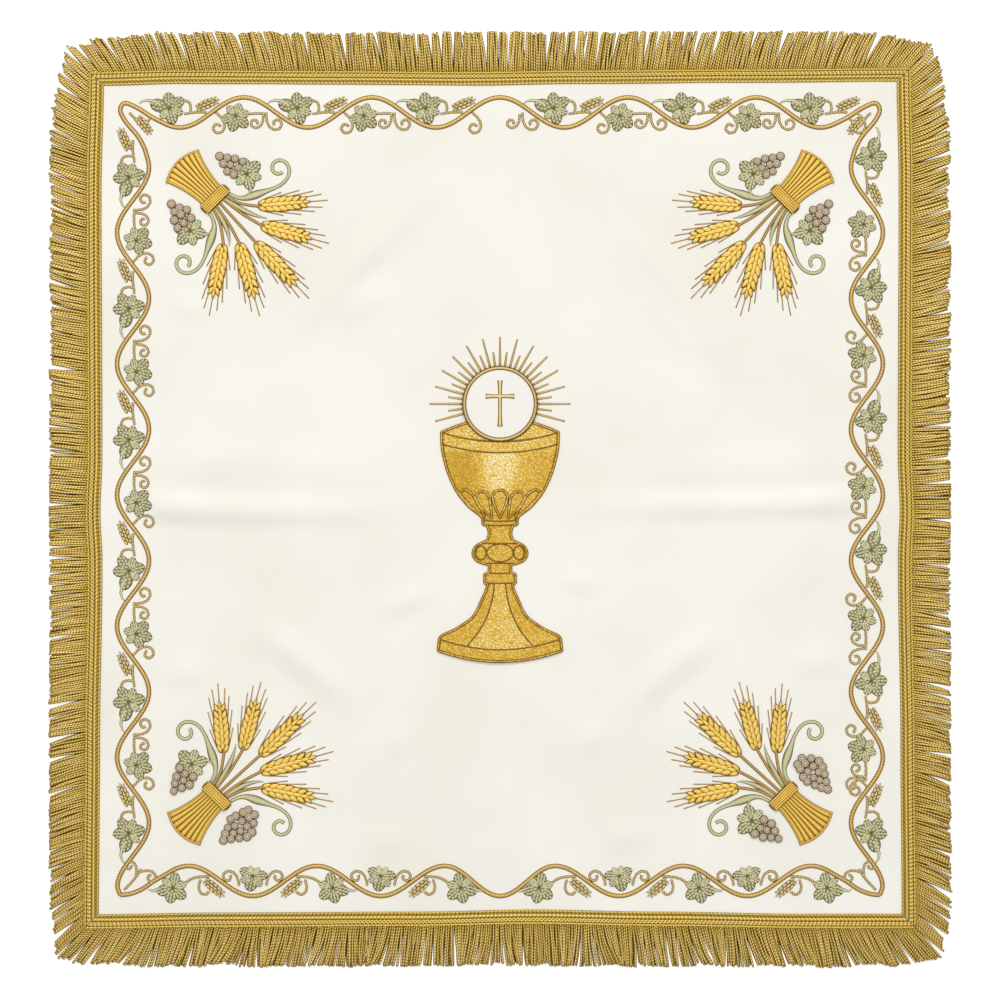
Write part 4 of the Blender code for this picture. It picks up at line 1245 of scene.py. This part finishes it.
# The leaves below the bowl, mirrored but for the first. Columns: x and y of the foot, heading,
# length, half width
CALYX = ((0.0, -13.0, 90.0, 19.0, 4.9), (-5.2, -13.0, 116.0, 19.5, 4.3), (-9.8, -12.4, 133.0, 24.0, 4.2))

# Power of the sine along a leaf, then the swing and the power of the sine across it
PETAL_SHAPE = (0.8, 1.93, 0.9)

# The inner lines that follow a row. Columns: y at the sides, share of the half width, sag
ROW_LINES = (
    (44.0, 0.98, 6.0), (36.2, 0.98, 5.4), (-14.0, 0.97, 0.8), (-17.0, 0.95, 0.6), (-29.6, 0.92, 0.0),
    (-42.7, 0.92, 0.0), (-49.4, 0.9, 0.0), (-55.7, 0.95, 0.4), (FOOT_FROM, 0.96, 6.6),
)

# The knop's ovals and the foot's panel. Columns: x, y, half width, half height, then x, y
KNOP_OVALS = ((0.0, -35.8, 8.8, 5.9), (12.6, -35.8, 3.4, 4.6), (-12.6, -35.8, 3.4, 4.6))
FOOT_PANEL = ((3.6, -56.5), (5.4, -68.0), (9.3, -79.5), (14.7, -89.0), (21.6, -97.4))


def eased(at, places, values):
    """A smooth curve through a table's rows that never swings past them: a monotone cubic."""
    step = np.diff(places)
    slope = np.diff(values) / step
    product = slope[1:] * slope[:-1]
    same_way = product > 0.0
    inner = np.where(same_way, 2.0 * product / np.where(same_way, slope[1:] + slope[:-1], 1.0), 0.0)
    tangent = np.concatenate((slope[:1], inner, slope[-1:]))
    row = np.clip(np.searchsorted(places, at, side="right") - 1, 0, len(places) - 2)
    t = (at - places[row]) / step[row]
    from_start = values[row] * (1.0 - smooth_step(t)) + tangent[row] * step[row] * t * (1.0 - t) ** 2
    return from_start + values[row + 1] * smooth_step(t) - tangent[row + 1] * step[row] * t**2 * (1.0 - t)


def chalice_half(y):
    """Half width of the chalice where its side is at y."""
    places, halves, _ = CHALICE_ROWS.T
    return eased(np.clip(y, places[0], places[-1]), places, halves)


def padding_lift(x, half):
    """Height of the padded chalice at x: it rises over its edge and is a little fuller inside."""
    rise = PADDING["edge"] * smooth_step((half - np.abs(x)) / PADDING["slope"])
    return rise + PADDING["crown"] * (1.0 - np.minimum((x / half) ** 2, 1.0))


def fade(y, start, end):
    """Rises smoothly from 0 at one height to 1 at another."""
    return smooth_step((y - start) / (end - start))


def laid_part(x, y, half, shade):
    """A padded face from rows of points, with the place of its stitches along and across."""
    points = on_cloth(np.stack((x, y), axis=-1), CLEARANCE + padding_lift(x, half))
    points[(0, -1), :, 2] -= PADDING["drawn"]
    return sweep(points[None], shade=shade, along=y / LAID_THREAD["pitch"], across=x / LAID_THREAD["stitch"])


def chalice_part():
    """The chalice's face, row by row: each row sags in its middle like the rim seen from above."""
    places, _, sags = CHALICE_ROWS.T
    side_y = np.linspace(places[0], places[-1], int((places[-1] - places[0]) / CHALICE_STEP))[:, None]
    u = np.linspace(-1.0, 1.0, CHALICE_COLUMNS)
    half = chalice_half(side_y)
    x = u * half
    y = side_y - eased(side_y, places, sags) * (1.0 - u**2)
    # Painted sheen down the bowl's middle and painted shade on its left side
    wide = np.interp(y, *SHEEN_HALF)
    sheen = np.exp(-(np.abs(x / wide) ** 3)) * fade(y, *SHEEN["in"]) * fade(y, *SHEEN["out"])
    dark = np.exp(-(((x - DARK_SIDE["middle"]) / DARK_SIDE["half"]) ** 2))
    dark = dark * fade(y, *DARK_SIDE["in"]) * fade(y, *DARK_SIDE["out"])
    shade = LAID_LEVEL + SHEEN["strength"] * sheen - DARK_SIDE["strength"] * dark
    panel_x, panel_y = np.array(FOOT_PANEL)[::-1].T
    in_panel = (y < FOOT_TOP) & (np.abs(x) < np.interp(y, panel_y, panel_x)) & (side_y > FOOT_FROM)
    return laid_part(x, y, half, shade + PANEL_LIGHT * (in_panel | (y > RIM_FROM)))


def inner_wall_part():
    """The inside of the bowl that shows behind the front rim, on both sides of the host."""
    u, rise = np.meshgrid(np.linspace(-1.0, 1.0, CHALICE_COLUMNS), np.linspace(0.0, 1.0, 24))
    side_y, half, sag = CHALICE_ROWS[-1]
    y = side_y + (rise * (sag + BACK_RIM_RISE) - sag) * (1.0 - u**2)
    return laid_part(half * u, y, half, LAID_LEVEL + PANEL_LIGHT)


def line_part(line, half_width, rise, tone, rim=0.0):
    """A cord or a stitched line that lies on the chalice's padding."""
    lift = CLEARANCE + padding_lift(line[:, 0], chalice_half(line[:, 1]) + LINE_MARGIN)[:, None]
    points, faces, values = cords_part(line, half_width, rise, lift, rim=rim, tone=tone)
    corners = np.array(CORD_SECTION[0])
    across = PLY_SLANT * np.tile(corners, len(line)) + 0.5
    run = np.repeat(np.arange(len(line)) * LINE_STITCH, len(corners))
    return points, faces, {"shade": values["shade"], "along": across, "across": run}


def edged_parts(line, kind="side"):
    """A gold cord laid on a wider brown one, whose edges show on both sides."""
    brown, gold = OUTLINE
    return [line_part(line, **brown), line_part(line, tone=OUTLINE_TONE[kind], **gold)]


def petal_line(x, y, heading, length, half_width):
    """A narrow leaf's edge: an open loop from its foot round its tip and back."""
    turn = np.linspace(0.0, 1.0, 40) * math.pi
    run_power, wide, wide_power = PETAL_SHAPE
    along = length * np.sin(turn) ** run_power
    aside = wide * half_width * np.cos(turn) * np.sin(turn) ** wide_power
    line = placed(np.column_stack((along, aside)), (x, y), heading)
    limit = chalice_half(line[:, 1]) - OUTLINE[0]["half_width"]
    return np.column_stack((np.clip(line[:, 0], -limit, limit), line[:, 1]))


def oval_line(x, y, half_wide, half_high):
    """A closed oval, drawn a little past its start."""
    around = np.linspace(0.0, 1.02 * math.tau, 40)
    return np.column_stack((x + half_wide * np.cos(around), y + half_high * np.sin(around)))


def chalice_outline():
    """The gold cord on the left: from the middle of the foot's edge along the side up to the host."""
    (foot_y, foot_half, sag), (rim_y, rim_half, _) = CHALICE_ROWS[[0, -1]]
    u = np.linspace(0.0, 1.0, 30)
    foot = np.column_stack((-u * foot_half, foot_y - sag * (1.0 - u**2)))
    side_y = np.arange(foot_y + 1.0, rim_y, 0.8)
    side = np.column_stack((-chalice_half(side_y), side_y))
    u = np.linspace(1.0, BACK_RIM_SEEN, 14)
    rim = np.column_stack((-u * rim_half, rim_y + BACK_RIM_RISE * (1.0 - u**2)))
    return smooth_line(np.concatenate((foot, side, rim)), 0.8)


def couched_weave(tree):
    """The height of couched threads from 0 to 1: uneven grains, each of its own brightness."""
    along = add_node(tree, "Attribute", (), attribute_name="along").outputs["Fac"]
    across = add_node(tree, "Attribute", (), attribute_name="across").outputs["Fac"]
    slant = add_node(tree, "Math", (along, 0.25, across), operation="MULTIPLY_ADD")
    place = add_node(tree, "CombineXYZ", (slant, along))
    grain = {"Vector": place, "Scale": 1.0, "Randomness": 0.75}
    edges = add_node(tree, "TexVoronoi", grain, feature="DISTANCE_TO_EDGE")
    cells = add_node(tree, "TexVoronoi", grain, feature="F1").outputs["Color"]
    rise = add_node(tree, "Math", (edges, 4.6), operation="MULTIPLY", use_clamp=True)
    tone = add_node(tree, "Math", (cells, 0.10, 0.92), operation="MULTIPLY_ADD")
    return add_node(tree, "Math", (rise, tone), operation="MULTIPLY")


# Laid gold: gilt passing thread in close rows, each couched down with waxed yellow silk
laid_gold = thread_material(
    "laid_gilt_thread",
    {0.03: "#7a540f", 0.34: "#c09014", 0.56: "#dfb22e", 0.76: "#f2d97c", 1.0: "#f8efcb"},
    roughness=0.62, metallic=0.1, grain=1.0, depth=0.56, weave=couched_weave, speckle=0.12,
)

outline = chalice_outline()
chalice_parts = [chalice_part(), inner_wall_part()]
for side in (1.0, -1.0):
    chalice_parts.extend(edged_parts(outline * (side, 1.0)))
across_row = np.linspace(-1.0, 1.0, 60)
for y, share, sag in ROW_LINES:
    row = np.column_stack((across_row * share * chalice_half(y), y - sag * (1.0 - across_row**2)))
    chalice_parts.append(line_part(row, **LINE))
for petal in CALYX:
    for side in (1.0, -1.0) if petal[0] else (1.0,):
        chalice_parts.extend(edged_parts(petal_line(*petal) * (side, 1.0), "petal"))
panel_line = smooth_line(FOOT_PANEL, 1.0)
for line in (*(oval_line(*oval) for oval in KNOP_OVALS), panel_line, panel_line * (-1.0, 1.0)):
    chalice_parts.append(line_part(line, **LINE))
chalice = add_piece("laid_gold_chalice", chalice_parts, laid_gold, "emblem", "emblem_chalice")


# The host: a disc of white silk over the back of the bowl, ringed with a gold cord. A plain cross
# stands on it, and twenty-nine fine rays of gold thread spread from it, long and short in turn.
HOST_CENTRE = (0.0, 63.2)
HOST_PLACE = (HOST_CENTRE, 0.0, 1.0)
HOST_DISC = 23.4
HOST_RING = 23.8
HOST_RISE = 0.3
HOST_LIFT = 2.0
RAY_PITCH = 15.0          # between two long rays
RAY_LIMIT = 105.0         # the last ray on each side, from the topmost
RAY_START = 25.0
RAY_REACH = {"long": 44.6, "level": 46.8, "short": 34.8}
RAY_HALF = (0.88, 0.58)
CROSS_BARS = (((0.0, -15.0), (0.0, 15.5)), ((-9.5, 5.0), (9.5, 5.0)))
CROSS_HALF = (1.9, 1.25)  # half width of a bar at its ends and in its middle

# How the host's cords are laid. Columns as in SEWN
HOST_SEWN = {
    "ring_edge": (0.5, HOST_LIFT, 1.8, 0.0, 0.3),
    "ring": (1.0, HOST_LIFT, 1.8, 0.6, 0.9),
    "cross": (0.6, HOST_LIFT + 0.3, 1.6, 0.0, 1.0),
    "ray": (0.5, CLEARANCE, 1.6, 0.15, 0.72),
}
RING_HALF = {"ring_edge": 1.45, "ring": 0.95}   # the brown cord and the gold one laid on it


def ray_part():
    """The rays: thin cords from the ring outwards, narrowing to their tips."""
    angles = np.arange(-RAY_LIMIT, RAY_LIMIT + 1.0, RAY_PITCH / 2.0)
    is_long = np.arange(len(angles)) % 2 == 0
    reach = np.where(is_long, RAY_REACH["long"], RAY_REACH["short"])
    reach = np.where(np.abs(angles) == 90.0, RAY_REACH["level"], reach)
    run = np.linspace(0.0, 1.0, 12)
    radius = RAY_START + run * (reach[:, None] - RAY_START)
    turn = np.radians(angles)[:, None]
    lines = np.stack((radius * np.sin(turn), radius * np.cos(turn)), axis=-1) + HOST_CENTRE
    return cords_part(lines, np.interp(run, (0.0, 1.0), RAY_HALF), *HOST_SEWN["ray"])


def bar_part(start, end):
    """One bar of the cross: a straight cord that widens to its ends."""
    share = np.linspace(0.0, 1.0, 24)
    line = np.array(start) + share[:, None] * (np.array(end) - start) + HOST_CENTRE
    wide, narrow = CROSS_HALF
    half = narrow + (wide - narrow) * np.abs(2.0 * share - 1.0) ** 4
    return cords_part(line, half, *HOST_SEWN["cross"])


# White silk, lightly padded, and the gold cord with its brown edges
host_silk, tree, shader = new_material(
    "white_host_silk", Base_Color=linear("#f1eee6"), Roughness=0.5, Sheen_Weight=0.1, Specular_IOR_Level=0.35
)
ring_gold = thread_material(
    "gold_ring_cord", {0.05: "#7c5a22", 0.5: "#c3a055", 0.95: "#ecd296"},
    roughness=0.45, metallic=0.5, grain=0.8, depth=0.3,
)
disc = pads_part(HOST_PLACE, np.zeros((1, 2)), HOST_DISC * circle(72)[1][None], HOST_RISE, HOST_LIFT)
host = add_piece("white_silk_host", [disc], host_silk, "satin", "emblem_host")
ring = oval_line(*HOST_CENTRE, HOST_RING, HOST_RING)
host_parts = [cords_part(ring, half, *HOST_SEWN[cord]) for cord, half in RING_HALF.items()]
host_parts.extend(bar_part(*bar) for bar in CROSS_BARS)
host_cords = add_piece("gold_ring_cross_and_rays", [*host_parts, ray_part()], ring_gold, "emblem")


# The studio: a white paper sweep under the veil, one broad soft light beyond its top edge, a weak
# one over it, and a camera looking straight down at the photograph's scale.
SIGHT_SCALE = 0.665       # mm of cloth in one pixel of the photograph
PHOTO_SIZE = 1000
PHOTO_MIDDLE_Y = 499      # the pixel row over the veil's origin
SENSOR = 36.0
LENS = 100.0
WHITE = linear("#ffffff")
PAPER_GLOW = 0.30         # the sweep is lit a little more than the veil, so it stays white
FILL_STRENGTH = 0.52

# The soft lights. Columns: place in metres, width, depth, watts
SOFTBOXES = {
    "window_light": ((0.0, 3.4, 3.6), 3.0, 1.5, 103.0),
    "top_light": ((-0.1, 0.0, 2.2), 1.2, 1.2, 11.0),
}


def stand(name, data):
    """Puts a new object with this data into the scene."""
    thing = bpy.data.objects.new(name, data)
    bpy.context.scene.collection.objects.link(thing)
    return thing


paper, tree, shader = new_material(
    "matt_white_paper", Base_Color=WHITE, Roughness=0.95, Specular_IOR_Level=0.1,
    Emission_Color=WHITE, Emission_Strength=PAPER_GLOW,
)
floor_mesh = bpy.data.meshes.new("paper_sweep")
floor_mesh.from_pydata([(-2, -2, 0), (2, -2, 0), (2, 2, 0), (-2, 2, 0)], [], [(0, 1, 2, 3)])
floor_mesh.materials.append(paper)
floor = stand("paper_sweep", floor_mesh)

world = bpy.data.worlds.new("studio_fill")
world.use_nodes = True
world.node_tree.nodes["Background"].inputs["Color"].default_value = WHITE
world.node_tree.nodes["Background"].inputs["Strength"].default_value = FILL_STRENGTH
bpy.context.scene.world = world

for name, (place, width, depth, power) in SOFTBOXES.items():
    lamp = bpy.data.lights.new(name, "AREA")
    lamp.shape = "RECTANGLE"
    lamp.size, lamp.size_y, lamp.energy = width, depth, power
    softbox = stand(name, lamp)
    softbox.location = place
    softbox.rotation_euler = (-softbox.location).to_track_quat("-Z", "Y").to_euler()

view = bpy.data.cameras.new("overhead_camera")
view.sensor_width = SENSOR
view.lens = LENS
camera = stand("overhead_camera", view)
distance = PHOTO_SIZE * SIGHT_SCALE * MM * LENS / SENSOR
middle_y = (PHOTO_MIDDLE_Y - PHOTO_SIZE / 2) * SIGHT_SCALE * MM
camera.location = (0.0, middle_y, distance + CLOTH_THICK * MM)
bpy.context.scene.camera = camera
bpy.context.scene.view_settings.view_transform = "Standard"
